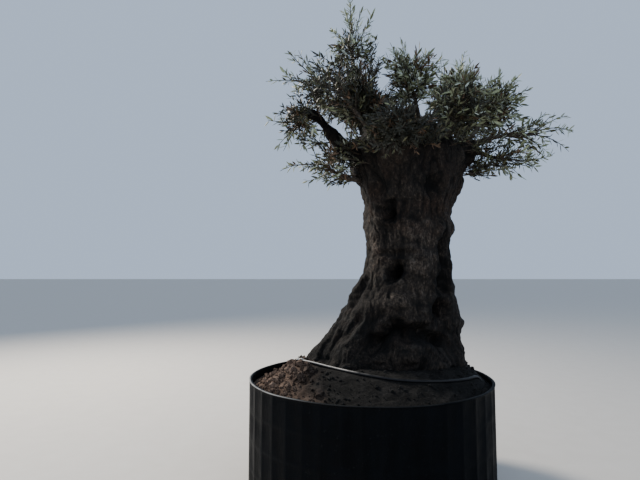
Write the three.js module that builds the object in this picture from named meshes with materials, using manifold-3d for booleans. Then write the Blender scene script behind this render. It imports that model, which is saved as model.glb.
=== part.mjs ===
// An old pollarded olive tree in a round nursery pot, in millimetres, +Z up.
// The origin is the centre of the pot's flat underside. +X is to the right of the tree's front, +Y to its back.
// The trunk stands in the pot's soil on a flat cut, widens into a knotted head, and carries short thick boughs.
// Each mass of foliage is one stem with shoots and leaves, grown by a seeded rule inside the mass's own space.

import * as THREE from "three";
import { mergeVertices } from "three/addons/utils/BufferGeometryUtils.js";
import Module from "manifold-3d";

const wasm = await Module();
wasm.setup();

// The gap between pieces that touch, and between a stem and the limb that carries it. The trunk's is measured
// level, and is this many times as wide round its foot.
const CLEARANCE = 0.4;
const TRUNK_CLEARANCE = 0.6;
const FOOT_SPREAD = 3;

// The pot: a thin sheet wall pressed into rows of cells, with a band round it between the rows.
const POT_RADIUS = 785;
const POT_HEIGHT = 680;
const POT_WALL = 16;
const POT_FLOOR = 14;
const POT_COLUMNS = 44;
const POT_ROWS = 4;
const CELL_DEPTH = 9;

// The soil: a mound round the trunk that falls away by the wall, with one heap to its left.
const SOIL_EDGE = 628;
const MOUND_RISE = 140;
const MOUND_CENTRE = [90, 30];
const MOUND_REACH = [760, 620];
const MOUND_SLOPE = [0.6, 1.2];
const WALL_FALL = { from: 0.86, to: 1, share: 0.7 };
const HEAP = { x: -500, y: -170, spread: 150, rise: 58 };
const SOIL_RADIUS = (POT_RADIUS - POT_WALL) * Math.cos(Math.PI / (2 * POT_COLUMNS)) - CLEARANCE;
const SOIL_SIDES = 32;
const SOIL_RINGS = [1, 0.9, 0.78, 0.64, 0.5];

// The trunk: height, centre x, centre y, half width and half depth at each level.
const TRUNK_LEVELS = [
  [690, 90, 80, 608, 405],
  [770, 115, 70, 557, 372],
  [860, 141, 62, 508, 338],
  [960, 172, 50, 448, 308],
  [1080, 222, 40, 404, 292],
  [1220, 242, 30, 352, 270],
  [1400, 276, 20, 290, 256],
  [1540, 272, 15, 280, 252],
  [1700, 266, 10, 292, 256],
  [1820, 274, 10, 302, 266],
  [1930, 282, 12, 340, 290],
  [2050, 272, 14, 376, 324],
  [2150, 274, 18, 398, 352],
  [2220, 248, 22, 370, 330],
  [2290, 209, 24, 262, 240],
  [2330, 194, 24, 130, 130],
];
const TRUNK_SIDES = 38;
const TRUNK_RINGS = 31;
const TRUNK_PEAK = 8;

// Ridges run up the trunk and turn round it. They are deepest at the root flare.
const FLUTES = 7;
const FLUTE_TURN_PER_MM = 0.00042;
const FLUTE_DEPTH = { foot: 0.13, top: 0.05, from: 690, to: 1500 };

// Burls stand out of the trunk and hollows go in: where they are, how wide and tall they are, and their rise.
// The bearing is in degrees: 0 is to the right, 90 to the back, 180 to the left and 270 to the front.
const KNOTS = [
  { bearing: 352, height: 1650, wide: 70, tall: 55, rise: 46 },
  { bearing: 0, height: 1955, wide: 80, tall: 60, rise: 22 },
  { bearing: 182, height: 1660, wide: 90, tall: 90, rise: 24 },
  { bearing: 0, height: 1012, wide: 90, tall: 74, rise: 66 },
  { bearing: 282, height: 868, wide: 90, tall: 80, rise: 62 },
  { bearing: 312, height: 782, wide: 110, tall: 62, rise: 58 },
  { bearing: 262, height: 1140, wide: 130, tall: 105, rise: 42 },
  { bearing: 278, height: 1440, wide: 95, tall: 90, rise: 38 },
  { bearing: 246, height: 1366, wide: 44, tall: 58, rise: -120 },
  { bearing: 236, height: 1768, wide: 52, tall: 60, rise: -62 },
  { bearing: 277, height: 990, wide: 84, tall: 50, rise: -120 },
  { bearing: 254, height: 950, wide: 60, tall: 80, rise: -58 },
  { bearing: 304, height: 930, wide: 60, tall: 46, rise: -66 },
  { bearing: 314, height: 1420, wide: 40, tall: 190, rise: -58 },
  { bearing: 306, height: 1120, wide: 56, tall: 60, rise: -58 },
  { bearing: 292, height: 1640, wide: 90, tall: 70, rise: 22 },
  { bearing: 60, height: 1240, wide: 120, tall: 110, rise: 44 },
  { bearing: 104, height: 1560, wide: 60, tall: 80, rise: -74 },
  { bearing: 128, height: 930, wide: 110, tall: 90, rise: 56 },
  { bearing: 84, height: 900, wide: 60, tall: 90, rise: -84 },
  { bearing: 150, height: 1330, wide: 70, tall: 130, rise: -46 },
  { bearing: 40, height: 1820, wide: 90, tall: 80, rise: 34 },
  { bearing: 150, height: 2080, wide: 110, tall: 70, rise: 36 },
  { bearing: 330, height: 2120, wide: 100, tall: 70, rise: 34 },
  { bearing: 250, height: 2110, wide: 120, tall: 80, rise: 30 },
];

// Boughs: the middle line from inside the trunk's head to the tip, and the radius at each of its points.
const BOUGH_SIDES = 9;
const BOUGH_STEPS = 5;
const BOUGHS = {
  left_bough: {
    line: [[14, -50, 2080], [-128, -85, 2160], [-240, -112, 2264], [-338, -135, 2376], [-436, -150, 2418]],
    radii: [74, 58, 46, 40, 34],
  },
  centre_left_bough: {
    line: [[134, 20, 2180], [82, 30, 2330], [20, 42, 2480], [-32, 50, 2620], [-92, 55, 2780]],
    radii: [122, 98, 80, 66, 46],
  },
  upper_left_bough: {
    line: [[4, 44, 2500], [-76, 10, 2560], [-156, -28, 2610], [-228, -58, 2664]],
    radii: [40, 36, 31, 26],
  },
  centre_bough: {
    line: [[334, 50, 2150], [372, 56, 2260], [386, 60, 2340], [392, 62, 2398]],
    radii: [118, 104, 92, 76],
  },
  right_bough: {
    line: [[484, 0, 2070], [579, -8, 2126], [646, -14, 2186], [689, -20, 2256]],
    radii: [132, 116, 94, 66],
  },
  back_right_bough: {
    line: [[434, 190, 2100], [539, 280, 2280], [619, 335, 2450], [674, 366, 2610]],
    radii: [96, 76, 58, 42],
  },
  back_left_bough: {
    line: [[164, 170, 2120], [104, 285, 2280], [44, 385, 2440], [0, 450, 2590]],
    radii: [94, 74, 56, 40],
  },
};

// Foliage masses: the limb that carries the stem, where the stem starts inside that limb, the heart and the
// half sizes of the mass's space, how far its shoots arch up, or down where that is negative, and its seed.
const MASSES = {
  left_tip_foliage: {
    carrier: "left_bough",
    from: [-428, -149, 2416],
    heart: [-475, -165, 2320],
    radii: [228, 270, 210],
    arch: 20,
    seed: 1,
  },
  left_hanging_foliage: {
    carrier: "trunk",
    from: [-55, -70, 1975],
    heart: [-315, -120, 2085],
    radii: [315, 270, 240],
    arch: -60,
    seed: 2,
  },
  upper_left_foliage: {
    carrier: "upper_left_bough",
    from: [-222, -55, 2660],
    heart: [-365, -80, 2650],
    radii: [325, 290, 255],
    arch: 50,
    seed: 3,
  },
  top_foliage: {
    carrier: "centre_left_bough",
    from: [-89, 55, 2772],
    heart: [-98, 40, 2935],
    radii: [190, 215, 350],
    arch: 30,
    seed: 4,
  },
  inner_foliage: {
    carrier: "trunk",
    from: [24, -150, 2190],
    heart: [-20, -190, 2450],
    radii: [270, 250, 310],
    arch: 30,
    seed: 5,
  },
  centre_foliage: {
    carrier: "centre_bough",
    from: [374, 40, 2390],
    heart: [300, -20, 2665],
    radii: [280, 290, 325],
    arch: 40,
    seed: 32,
  },
  right_centre_foliage: {
    carrier: "centre_bough",
    from: [419, 84, 2390],
    heart: [640, 140, 2640],
    radii: [285, 290, 335],
    arch: 40,
    seed: 34,
  },
  right_foliage: {
    carrier: "right_bough",
    from: [686, 0, 2246],
    heart: [915, 70, 2515],
    radii: [265, 300, 325],
    arch: 40,
    seed: 8,
  },
  far_right_foliage: {
    carrier: "right_bough",
    from: [700, -30, 2230],
    heart: [1110, -70, 2285],
    radii: [318, 260, 165],
    arch: 50,
    seed: 9,
  },
  right_hanging_foliage: {
    carrier: "right_bough",
    from: [692, -40, 2196],
    heart: [925, -60, 2125],
    radii: [315, 290, 170],
    arch: -30,
    seed: 10,
  },
  front_foliage: {
    carrier: "trunk",
    from: [204, -250, 2110],
    heart: [150, -420, 2215],
    radii: [330, 220, 190],
    arch: 20,
    seed: 11,
  },
  front_right_foliage: {
    carrier: "trunk",
    from: [464, -210, 2160],
    heart: [560, -330, 2390],
    radii: [290, 260, 245],
    arch: 40,
    seed: 33,
  },
  front_left_foliage: {
    carrier: "trunk",
    from: [64, -230, 2150],
    heart: [-220, -370, 2480],
    radii: [265, 250, 240],
    arch: 30,
    seed: 13,
  },
  back_left_foliage: {
    carrier: "back_left_bough",
    from: [2, 447, 2580],
    heart: [-106, 480, 2650],
    radii: [360, 320, 320],
    arch: 40,
    seed: 14,
  },
  back_foliage: {
    carrier: "trunk",
    from: [324, 280, 2140],
    heart: [384, 560, 2550],
    radii: [350, 310, 330],
    arch: 40,
    seed: 31,
  },
  back_right_foliage: {
    carrier: "back_right_bough",
    from: [672, 365, 2600],
    heart: [790, 430, 2530],
    radii: [320, 320, 320],
    arch: 40,
    seed: 16,
  },
};

// The growing rule. Leaves are larger than life, and each stands for a spray of them.
const STEM_RADII = [17, 15, 12];
const STEM_STEPS = 3;
const SHOOTS = 7;
const SHOOT_SPREAD = 1.5;
const SHOOT_STARTS = [0.4, 0.95];
const SHOOT_RADII = [6, 5.5, 5];
const SHOOT_SIDES = 3;
const SHOOT_CHECKS = 10;
const SHORTEST_SHOOT = 0.4;
const SHORTEST_REACH = 40;
const ARCH_SHARES = [0.4, 1.2];
const LEAF_LENGTH = 190;
const LEAF_WIDTH = 54;
const LEAF_KEEL = 10;
const LEAF_CUTS = [1, 0.8, 0.62];
const LEAF_WIDEST = 0.42;
const LEAF_LEAN = 0.85;
const LEAF_PLACES = [0.34, 0.6, 0.86];
const LEAF_LENGTH_SHARES = [0.85, 1.1];
const LEAF_ROOT_ACROSS = 1;
const LEAF_ROOT_BACK = 5;
const SPACE_MARGIN = 3;
const LIMB_MARGIN = 14;
const TRUNK_MARGIN = 54;
const TRACK_STEPS = 16;
const TRUNK_TRACK_STEPS = 90;
const GOLDEN_ANGLE = Math.PI * (3 - Math.sqrt(5));

// Openings where the sky shows through the crown from the front: the middle at y 0, and the radius round the
// line of sight.
const EYE = new THREE.Vector3(-326, -3250, 1330);
const SKY_OPENINGS = [
  { x: 104, z: 2672, radius: 50 },
  { x: -178, z: 2364, radius: 54 },
  { x: -34, z: 2312, radius: 30 },
  { x: 378, z: 2482, radius: 44 },
  { x: 556, z: 2250, radius: 40 },
];

// The drip pipe that lies on the soil in front of the trunk, by its plan, and the plug on its left end.
const PIPE_RADIUS = 9;
const PIPE_SIDES = 6;
const PIPE_STEPS = 14;
const PIPE_PLAN = [
  [-454, -126],
  [-380, -180],
  [-258, -250],
  [-91, -380],
  [130, -455],
  [365, -428],
  [534, -345],
  [632, -248],
  [700, -150],
];
const PIPE_SUNK = 3;
const PLUG_RADIUS = 16;
const PLUG_LENGTH = 42;

// A repeatable stream of numbers from 0 to 1.
function seeded(seed) {
  let state = seed >>> 0;
  return () => {
    state = (state + 0x6d2b79f5) >>> 0;
    let mixed = Math.imul(state ^ (state >>> 15), state | 1);
    mixed ^= mixed + Math.imul(mixed ^ (mixed >>> 7), mixed | 61);
    return ((mixed ^ (mixed >>> 14)) >>> 0) / 4294967296;
  };
}

const smoothstep = (low, high, value) => THREE.MathUtils.smoothstep(value, low, high);
const between = ([low, high], share) => THREE.MathUtils.lerp(low, high, share);
const vector = ([x, y, z]) => new THREE.Vector3(x, y, z);

function geometryOf(vertices, triangles) {
  const numbers = vertices.flatMap(({ x, y, z }) => [x, y, z]);
  const geometry = new THREE.BufferGeometry();
  geometry.setAttribute("position", new THREE.Float32BufferAttribute(numbers, 3));
  geometry.setIndex(triangles.flat());
  return geometry;
}

// A closed geometry as a solid that can be joined and cut.
function solidOf(geometry) {
  const bare = geometry.clone();
  bare.deleteAttribute("normal");
  bare.deleteAttribute("uv");
  const merged = mergeVertices(bare, 1e-3);
  const mesh = new wasm.Mesh({
    numProp: 3,
    vertProperties: Float32Array.from(merged.getAttribute("position").array),
    triVerts: Uint32Array.from(merged.index.array),
  });
  return new wasm.Manifold(mesh);
}

function geometryOfSolid(solid) {
  const mesh = solid.getMesh();
  const geometry = new THREE.BufferGeometry();
  geometry.setAttribute("position", new THREE.BufferAttribute(Float32Array.from(mesh.vertProperties), 3));
  geometry.setIndex(new THREE.BufferAttribute(Uint32Array.from(mesh.triVerts), 1));
  return geometry;
}

// The largest closed shell of a solid: this drops loose scraps and fills sealed hollows.
function largestShell(solid) {
  return solid.decompose().reduce((best, shell) => (shell.volume() > best.volume() ? shell : best));
}

// The row of levels read at a share of the way along them, on a smooth curve through every level.
function readLevels(levels, place) {
  const step = Math.min(Math.floor(place), levels.length - 2);
  const t = place - step;
  const before = levels[Math.max(step - 1, 0)];
  const from = levels[step];
  const to = levels[step + 1];
  const after = levels[Math.min(step + 2, levels.length - 1)];
  return from.map((value, k) => {
    const leave = (to[k] - before[k]) / 2;
    const arrive = (after[k] - value) / 2;
    const bend = 3 * (to[k] - value) - 2 * leave - arrive;
    const settle = 2 * (value - to[k]) + leave + arrive;
    return value + t * (leave + t * (bend + t * settle));
  });
}

// How far burls and hollows push a point of the trunk out.
function knotRise(angle, height, radius) {
  let rise = 0;
  for (const knot of KNOTS) {
    const turn = angle - THREE.MathUtils.degToRad(knot.bearing);
    const across = (Math.atan2(Math.sin(turn), Math.cos(turn)) * radius) / knot.wide;
    const up = (height - knot.height) / knot.tall;
    rise += knot.rise * Math.exp(-across * across - up * up);
  }
  return rise;
}

function trunkPoint(place, angle, extra) {
  const [height, centreX, centreY, halfWidth, halfDepth] = readLevels(TRUNK_LEVELS, place);
  const fade = smoothstep(FLUTE_DEPTH.from, FLUTE_DEPTH.to, height);
  const depth = THREE.MathUtils.lerp(FLUTE_DEPTH.foot, FLUTE_DEPTH.top, fade);
  const wave = 0.5 - 0.5 * Math.cos(FLUTES * (angle + FLUTE_TURN_PER_MM * height));
  const share = 1 - depth * wave;
  const push = extra + knotRise(angle, height, (halfWidth + halfDepth) / 2) * smoothstep(0, 1, place);
  return new THREE.Vector3(
    centreX + Math.cos(angle) * (halfWidth * share + push),
    centreY + Math.sin(angle) * (halfDepth * share + push),
    height,
  );
}

// A closed skin over rings of points, with one point under the first ring and one over the last.
function closedSkin(vertices, sides, below, above) {
  const rings = vertices.length / sides;
  const start = vertices.push(below) - 1;
  const end = vertices.push(above) - 1;
  const triangles = [];
  for (let side = 0; side < sides; side += 1) {
    const next = (side + 1) % sides;
    for (let ring = 0; ring < rings - 1; ring += 1) {
      const low = ring * sides;
      const high = low + sides;
      triangles.push([low + side, low + next, high + next], [low + side, high + next, high + side]);
    }
    const top = (rings - 1) * sides;
    triangles.push([start, next, side], [end, top + side, top + next]);
  }
  return geometryOf(vertices, triangles);
}

function trunkGeometry(extra) {
  const vertices = [];
  const last = TRUNK_LEVELS.length - 1;
  for (let ring = 0; ring < TRUNK_RINGS; ring += 1) {
    for (let side = 0; side < TRUNK_SIDES; side += 1) {
      const angle = (side * 2 * Math.PI) / TRUNK_SIDES;
      const room = ring === 0 ? FOOT_SPREAD * extra : extra;
      const point = trunkPoint((ring * last) / (TRUNK_RINGS - 1), angle, room);
      if (ring === 0) point.z -= extra;
      vertices.push(point);
    }
  }
  const [footHeight, footX, footY] = TRUNK_LEVELS[0];
  const [topHeight, topX, topY] = TRUNK_LEVELS[last];
  const below = new THREE.Vector3(footX, footY, footHeight - extra);
  const above = new THREE.Vector3(topX, topY, topHeight + TRUNK_PEAK + extra);
  return closedSkin(vertices, TRUNK_SIDES, below, above);
}

// The way a line of points runs at each point, and two directions across it that turn as little as they can.
function framesAlong(points) {
  const first = points[1].clone().sub(points[0]).normalize();
  let across = new THREE.Vector3(0, 0, 1).cross(first);
  if (across.length() < 0.1) across.set(1, 0, 0);
  return points.map((_, i) => {
    const before = points[Math.max(i - 1, 0)];
    const after = points[Math.min(i + 1, points.length - 1)];
    const along = after.clone().sub(before).normalize();
    across = across.clone().addScaledVector(along, -across.dot(along)).normalize();
    return { along, across, other: along.clone().cross(across) };
  });
}

// The value at a share of the way along a row of evenly spaced values.
function readRow(values, share) {
  const place = share * (values.length - 1);
  const step = Math.min(Math.floor(place), values.length - 2);
  return THREE.MathUtils.lerp(values[step], values[step + 1], place - step);
}

// The point at a share of the way along a line of evenly spaced points.
function readPoint(points, share) {
  const place = share * (points.length - 1);
  const step = Math.min(Math.floor(place), points.length - 2);
  return points[step].clone().lerp(points[step + 1], place - step);
}

// A tapering limb along a line of points, closed by a flat face at each end.
function limbGeometry(points, radii, sides, extra = 0) {
  const last = points.length - 1;
  const frames = framesAlong(points);
  const centres = points.map((point) => point.clone());
  centres[0].addScaledVector(frames[0].along, -extra);
  centres[last].addScaledVector(frames[last].along, extra);
  const vertices = [];
  centres.forEach((centre, i) => {
    const radius = readRow(radii, i / last) + extra;
    for (let side = 0; side < sides; side += 1) {
      const angle = (side * 2 * Math.PI) / sides;
      const { across, other } = frames[i];
      const point = centre.clone().addScaledVector(across, radius * Math.cos(angle));
      vertices.push(point.addScaledVector(other, radius * Math.sin(angle)));
    }
  });
  return closedSkin(vertices, sides, centres[0], centres[last]);
}

const smoothLine = (points, steps) => new THREE.CatmullRomCurve3(points).getSpacedPoints(steps);

// One leaf: a narrow blade with a keel under it from root to tip, widest before the middle.
const leafGeometry = (corners) => geometryOf(corners, [[0, 3, 2], [1, 2, 3], [0, 2, 1], [0, 1, 3]]);

// The corners of a leaf from its root along an axis, with its upper side towards a given way.
function leafCorners({ root, axis, up }, length) {
  const face = up.clone().addScaledVector(axis, -up.dot(axis)).normalize();
  const across = face.clone().cross(axis).multiplyScalar(LEAF_WIDTH / 2);
  const widest = root.clone().addScaledVector(axis, length * LEAF_WIDEST).addScaledVector(face, LEAF_KEEL);
  const tip = root.clone().addScaledVector(axis, length);
  return [root, tip, widest.clone().add(across), widest.clone().sub(across)];
}

// Every limb that shoots and leaves must keep clear of: its name, points along it and its radius there.
function limbTrack(name, points, radii) {
  const line = smoothLine(points, TRACK_STEPS);
  return line.map((point, i) => ({ name, point, radius: readRow(radii, i / TRACK_STEPS) }));
}

function stemLine(mass) {
  const from = vector(mass.from);
  const heart = vector(mass.heart);
  const middle = from.clone().lerp(heart, 0.5);
  middle.z += mass.arch / 2;
  return smoothLine([from, middle, heart], STEM_STEPS);
}

const LIMB_TRACKS = [
  ...Object.entries(BOUGHS).flatMap(([name, bough]) => limbTrack(name, bough.line.map(vector), bough.radii)),
  ...Object.entries(MASSES).flatMap(([name, mass]) => limbTrack(name, stemLine(mass), STEM_RADII)),
];
const TRUNK_TRACK = Array.from({ length: TRUNK_TRACK_STEPS + 1 }, (_, i) =>
  readLevels(TRUNK_LEVELS, (i / TRUNK_TRACK_STEPS) * (TRUNK_LEVELS.length - 1)),
);

function clearOfTrunk(point) {
  const away = ([height]) => Math.abs(height - point.z);
  const level = TRUNK_TRACK.reduce((best, row) => (away(row) < away(best) ? row : best));
  if (away(level) > LIMB_MARGIN + TRUNK_PEAK) return true;
  const across = (point.x - level[1]) / (level[3] + TRUNK_MARGIN);
  const deep = (point.y - level[2]) / (level[4] + TRUNK_MARGIN);
  return across * across + deep * deep > 1;
}

function clearOfLimbs(point, own) {
  const others = LIMB_TRACKS.filter(({ name }) => name !== own);
  return others.every((limb) => limb.point.distanceTo(point) > limb.radius + LIMB_MARGIN);
}

function clearOfOpenings(point) {
  return SKY_OPENINGS.every(({ x, z, radius }) => {
    const sight = new THREE.Vector3(x, 0, z).sub(EYE).normalize();
    return point.clone().sub(EYE).cross(sight).length() > radius;
  });
}

// A mass's space is an ellipsoid, cut by a plane between it and each neighbour.
function insideSpace(mass, point) {
  const heart = vector(mass.heart);
  const offset = point.clone().sub(heart);
  const [wide, deep, tall] = mass.radii;
  if ((offset.x / wide) ** 2 + (offset.y / deep) ** 2 + (offset.z / tall) ** 2 > 1) return false;
  const size = wide + deep + tall;
  return Object.values(MASSES).every((other) => {
    if (other === mass) return true;
    const toOther = vector(other.heart).sub(heart);
    const share = size / (size + other.radii[0] + other.radii[1] + other.radii[2]);
    return offset.dot(toOther) / toOther.length() < toOther.length() * share - SPACE_MARGIN;
  });
}

function fits(name, mass, point) {
  return insideSpace(mass, point) && clearOfLimbs(point, name) && clearOfTrunk(point) && clearOfOpenings(point);
}

// The longest part of a shoot, in steps, that fits its mass's space.
function fittingShare(name, mass, curve) {
  let share = 0;
  for (let step = 1; step <= SHOOT_CHECKS; step += 1) {
    if (!fits(name, mass, curve.getPoint(step / SHOOT_CHECKS))) break;
    share = step / SHOOT_CHECKS;
  }
  return share;
}

// Leaves stand in pairs on the outer part of a shoot, each on its own face of the shoot, and one more ends it.
function leafPairs(points, random) {
  const frames = framesAlong(points);
  const pairs = LEAF_PLACES.map((place, pair) => {
    const segment = Math.floor(2 * place);
    const along = points[segment + 1].clone().sub(points[segment]).normalize();
    const { across, other } = frames[segment];
    return [pair, pair + 1].map((face) => {
      const angle = Math.PI / 3 + (face * 2 * Math.PI) / 3;
      const side = across.clone().multiplyScalar(Math.cos(angle)).addScaledVector(other, Math.sin(angle));
      const axis = along.clone().multiplyScalar(Math.cos(LEAF_LEAN)).addScaledVector(side, Math.sin(LEAF_LEAN));
      const root = readPoint(points, place).addScaledVector(side, -LEAF_ROOT_ACROSS);
      const length = LEAF_LENGTH * between(LEAF_LENGTH_SHARES, random());
      return { root, axis: axis.normalize(), up: along.clone().sub(side), length };
    });
  });
  const { along, across } = frames[2];
  const root = points[2].clone().addScaledVector(along, -LEAF_ROOT_BACK);
  return [...pairs, [{ root, axis: along, up: across, length: LEAF_LENGTH }]];
}

// How far a mass's space reaches from its heart along a direction.
const reachOf = ([wide, deep, tall], way) => 1 / Math.hypot(way.x / wide, way.y / deep, way.z / tall);

// Shoots leave the stem in a spiral round its direction, the first straight on, the last ones low and outwards.
function shootCurve(mass, stem, k, random) {
  const [{ along, across, other }] = framesAlong([stem[0], stem[STEM_STEPS]]);
  const level = 1 - (SHOOT_SPREAD * k) / (SHOOTS - 1);
  const round = Math.sqrt(1 - level * level);
  const turn = k * GOLDEN_ANGLE;
  const way = along.clone().multiplyScalar(level);
  way.addScaledVector(across, round * Math.cos(turn)).addScaledVector(other, round * Math.sin(turn));
  const reach = Math.max(reachOf(mass.radii, way) - LEAF_LENGTH, SHORTEST_REACH);
  const target = vector(mass.heart).addScaledVector(way, reach);
  const start = readPoint(stem, between(SHOOT_STARTS, (1 + level) / 2));
  const bend = start.clone().lerp(target, 0.5);
  bend.z += mass.arch * between(ARCH_SHARES, random());
  return new THREE.QuadraticBezierCurve3(start, bend, target);
}

const crosses = (solid, others) => others.some((other) => other.intersect(solid).volume() > 0);

// A leaf is placed at the greatest length at which it stays in the mass's space and clear of the others.
function placeLeaf(leaf, others, name, mass) {
  for (const cut of LEAF_CUTS) {
    const corners = leafCorners(leaf, leaf.length * cut);
    const solid = solidOf(leafGeometry(corners));
    if (corners.slice(1).every((point) => fits(name, mass, point)) && !crosses(solid, others)) return [solid];
  }
  return [];
}

function growMass(name, mass) {
  const random = seeded(mass.seed);
  const stem = stemLine(mass);
  const lines = [];
  for (let k = 0; k < SHOOTS; k += 1) {
    const curve = shootCurve(mass, stem, k, random);
    const share = fittingShare(name, mass, curve);
    if (share >= SHORTEST_SHOOT) lines.push([0, 0.5, 1].map((t) => curve.getPoint(t * share)));
  }
  const shoots = lines.map((line) => solidOf(limbGeometry(line, SHOOT_RADII, SHOOT_SIDES)));
  const wood = [solidOf(limbGeometry(stem, STEM_RADII, SHOOT_SIDES)), ...shoots];
  const leaves = [];
  lines.forEach((line, k) => {
    const others = wood.filter((_, i) => i !== k + 1);
    for (const pair of leafPairs(line, random)) {
      const fresh = pair.flatMap((leaf) => placeLeaf(leaf, [...others, ...leaves], name, mass));
      leaves.push(...fresh);
    }
  });
  return wasm.Manifold.union([...wood, ...leaves]);
}

function soilHeight(x, y) {
  const [reachX, reachY] = MOUND_REACH;
  const away = Math.hypot((x - MOUND_CENTRE[0]) / reachX, (y - MOUND_CENTRE[1]) / reachY);
  const heap = Math.hypot(x - HEAP.x, y - HEAP.y) / HEAP.spread;
  const byWall = smoothstep(WALL_FALL.from, WALL_FALL.to, Math.hypot(x, y) / SOIL_RADIUS);
  const rise = MOUND_RISE * (1 - smoothstep(...MOUND_SLOPE, away)) + HEAP.rise * Math.exp(-heap * heap);
  return SOIL_EDGE + rise * (1 - WALL_FALL.share * byWall);
}

// The pot is turned from its section, and its outer wall is then pressed in at the middle of each cell.
function potGeometry() {
  const halfRow = POT_HEIGHT / (2 * POT_ROWS);
  const inner = POT_RADIUS - POT_WALL;
  const outerWall = Array.from({ length: 2 * POT_ROWS + 1 }, (_, i) => [POT_RADIUS, i * halfRow]);
  const section = [[0, 0], ...outerWall, [inner, POT_HEIGHT], [inner, POT_FLOOR], [0, POT_FLOOR]];
  const points = section.map(([radius, height]) => new THREE.Vector2(radius, height));
  const geometry = new THREE.LatheGeometry(points, 2 * POT_COLUMNS);
  const position = geometry.getAttribute("position");
  for (let i = 0; i < position.count; i += 1) {
    const [x, y, z] = [position.getX(i), position.getY(i), position.getZ(i)];
    const column = Math.round((Math.atan2(x, z) * POT_COLUMNS) / Math.PI);
    const row = Math.round(y / halfRow);
    const outside = Math.hypot(x, z) > POT_RADIUS - 1;
    if (outside && row % 2 === 1 && column % 2 !== 0) {
      const share = (POT_RADIUS - CELL_DEPTH) / POT_RADIUS;
      position.setXYZ(i, x * share, y, z * share);
    }
  }
  return geometry.rotateX(Math.PI / 2);
}

function soilGeometry() {
  const bottom = POT_FLOOR + CLEARANCE;
  const vertices = [];
  [1, ...SOIL_RINGS].forEach((share, ring) => {
    for (let side = 0; side < SOIL_SIDES; side += 1) {
      const angle = (side * 2 * Math.PI) / SOIL_SIDES;
      const [x, y] = [SOIL_RADIUS * share * Math.cos(angle), SOIL_RADIUS * share * Math.sin(angle)];
      vertices.push(new THREE.Vector3(x, y, ring === 0 ? bottom : soilHeight(x, y)));
    }
  });
  const below = new THREE.Vector3(0, 0, bottom);
  const above = new THREE.Vector3(0, 0, soilHeight(0, 0));
  return closedSkin(vertices, SOIL_SIDES, below, above);
}

// The pipe's left end is closed by a plug, and its right end dips into the soil beside the wall.
function pipeGeometries(extra) {
  const plan = PIPE_PLAN.map(([x, y]) => new THREE.Vector3(x, y, soilHeight(x, y) + PIPE_RADIUS - PIPE_SUNK));
  plan[plan.length - 1].z -= 3 * PIPE_RADIUS;
  const line = smoothLine(plan, PIPE_STEPS);
  const heading = line[1].clone().sub(line[0]).normalize().multiplyScalar(PLUG_LENGTH / 2);
  const plug = [line[0].clone().sub(heading), line[0].clone().add(heading)];
  return [
    limbGeometry(line, [PIPE_RADIUS, PIPE_RADIUS], PIPE_SIDES, extra),
    limbGeometry(plug, [PLUG_RADIUS, PLUG_RADIUS], PIPE_SIDES, extra),
  ];
}

const tree = new THREE.Group();

function addNode(name, geometry, material) {
  const mesh = new THREE.Mesh(geometry, material.clone());
  mesh.name = name;
  tree.add(mesh);
}

const bark = new THREE.MeshStandardMaterial({ color: 0x5d5248, roughness: 0.95, metalness: 0 });
const leafGreen = new THREE.MeshStandardMaterial({ color: 0x6b7350, roughness: 0.6, metalness: 0 });
const blackPlastic = new THREE.MeshStandardMaterial({ color: 0x17191a, roughness: 0.5, metalness: 0 });
const earth = new THREE.MeshStandardMaterial({ color: 0x7a6250, roughness: 1, metalness: 0 });

// The shape that cuts a neighbour clear of a limb.
function cutter(name) {
  if (name === "trunk") return solidOf(trunkGeometry(TRUNK_CLEARANCE));
  return solidOf(boughGeometry(name, CLEARANCE));
}

function boughGeometry(name, extra) {
  const { line, radii } = BOUGHS[name];
  return limbGeometry(smoothLine(line.map(vector), BOUGH_STEPS), radii, BOUGH_SIDES, extra);
}

// Limbs: the trunk whole, then each bough cut clear of the limb it leaves and of the boughs before it.
addNode("trunk", trunkGeometry(0), bark);
const placed = ["trunk"];
for (const name of Object.keys(BOUGHS)) {
  const solid = placed.reduce((rest, other) => rest.subtract(cutter(other)), solidOf(boughGeometry(name, 0)));
  addNode(name, geometryOfSolid(largestShell(solid)), bark);
  placed.push(name);
}

// Foliage: each mass is cut clear of the limb that carries it.
for (const [name, mass] of Object.entries(MASSES)) {
  const solid = growMass(name, mass).subtract(cutter(mass.carrier));
  addNode(name, geometryOfSolid(largestShell(solid)), leafGreen);
}

// The pot, the pipe, and the soil with seats for the trunk's foot and the pipe.
addNode("pot", potGeometry(), blackPlastic);
const pipe = wasm.Manifold.union(pipeGeometries(0).map(solidOf)).subtract(cutter("trunk"));
addNode("drip_pipe", geometryOfSolid(largestShell(pipe)), blackPlastic);
const pipeSeat = wasm.Manifold.union(pipeGeometries(CLEARANCE).map(solidOf));
const soil = solidOf(soilGeometry()).subtract(cutter("trunk")).subtract(pipeSeat);
addNode("soil", geometryOfSolid(largestShell(soil)), earth);

export default tree;
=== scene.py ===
"""An old potted olive tree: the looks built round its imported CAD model.

The growing rule, the trunk's levels and the boughs' lines are written again here in millimetres,
and carried to finer twigs and leaves. Every mesh is turned to metres when it is made.
"""

import math
from collections import namedtuple

import bmesh
import bpy
import numpy as np
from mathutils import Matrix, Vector, noise


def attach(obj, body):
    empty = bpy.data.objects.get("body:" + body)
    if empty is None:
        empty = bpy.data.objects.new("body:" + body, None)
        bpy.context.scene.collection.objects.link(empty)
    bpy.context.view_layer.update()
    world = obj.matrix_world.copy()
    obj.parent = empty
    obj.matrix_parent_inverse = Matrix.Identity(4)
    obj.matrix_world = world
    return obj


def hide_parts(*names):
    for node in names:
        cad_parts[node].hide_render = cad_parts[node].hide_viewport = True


MM = 0.001
UP = np.array([0.0, 0.0, 1.0])
GOLDEN_ANGLE = math.pi * (3 - math.sqrt(5))

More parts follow.
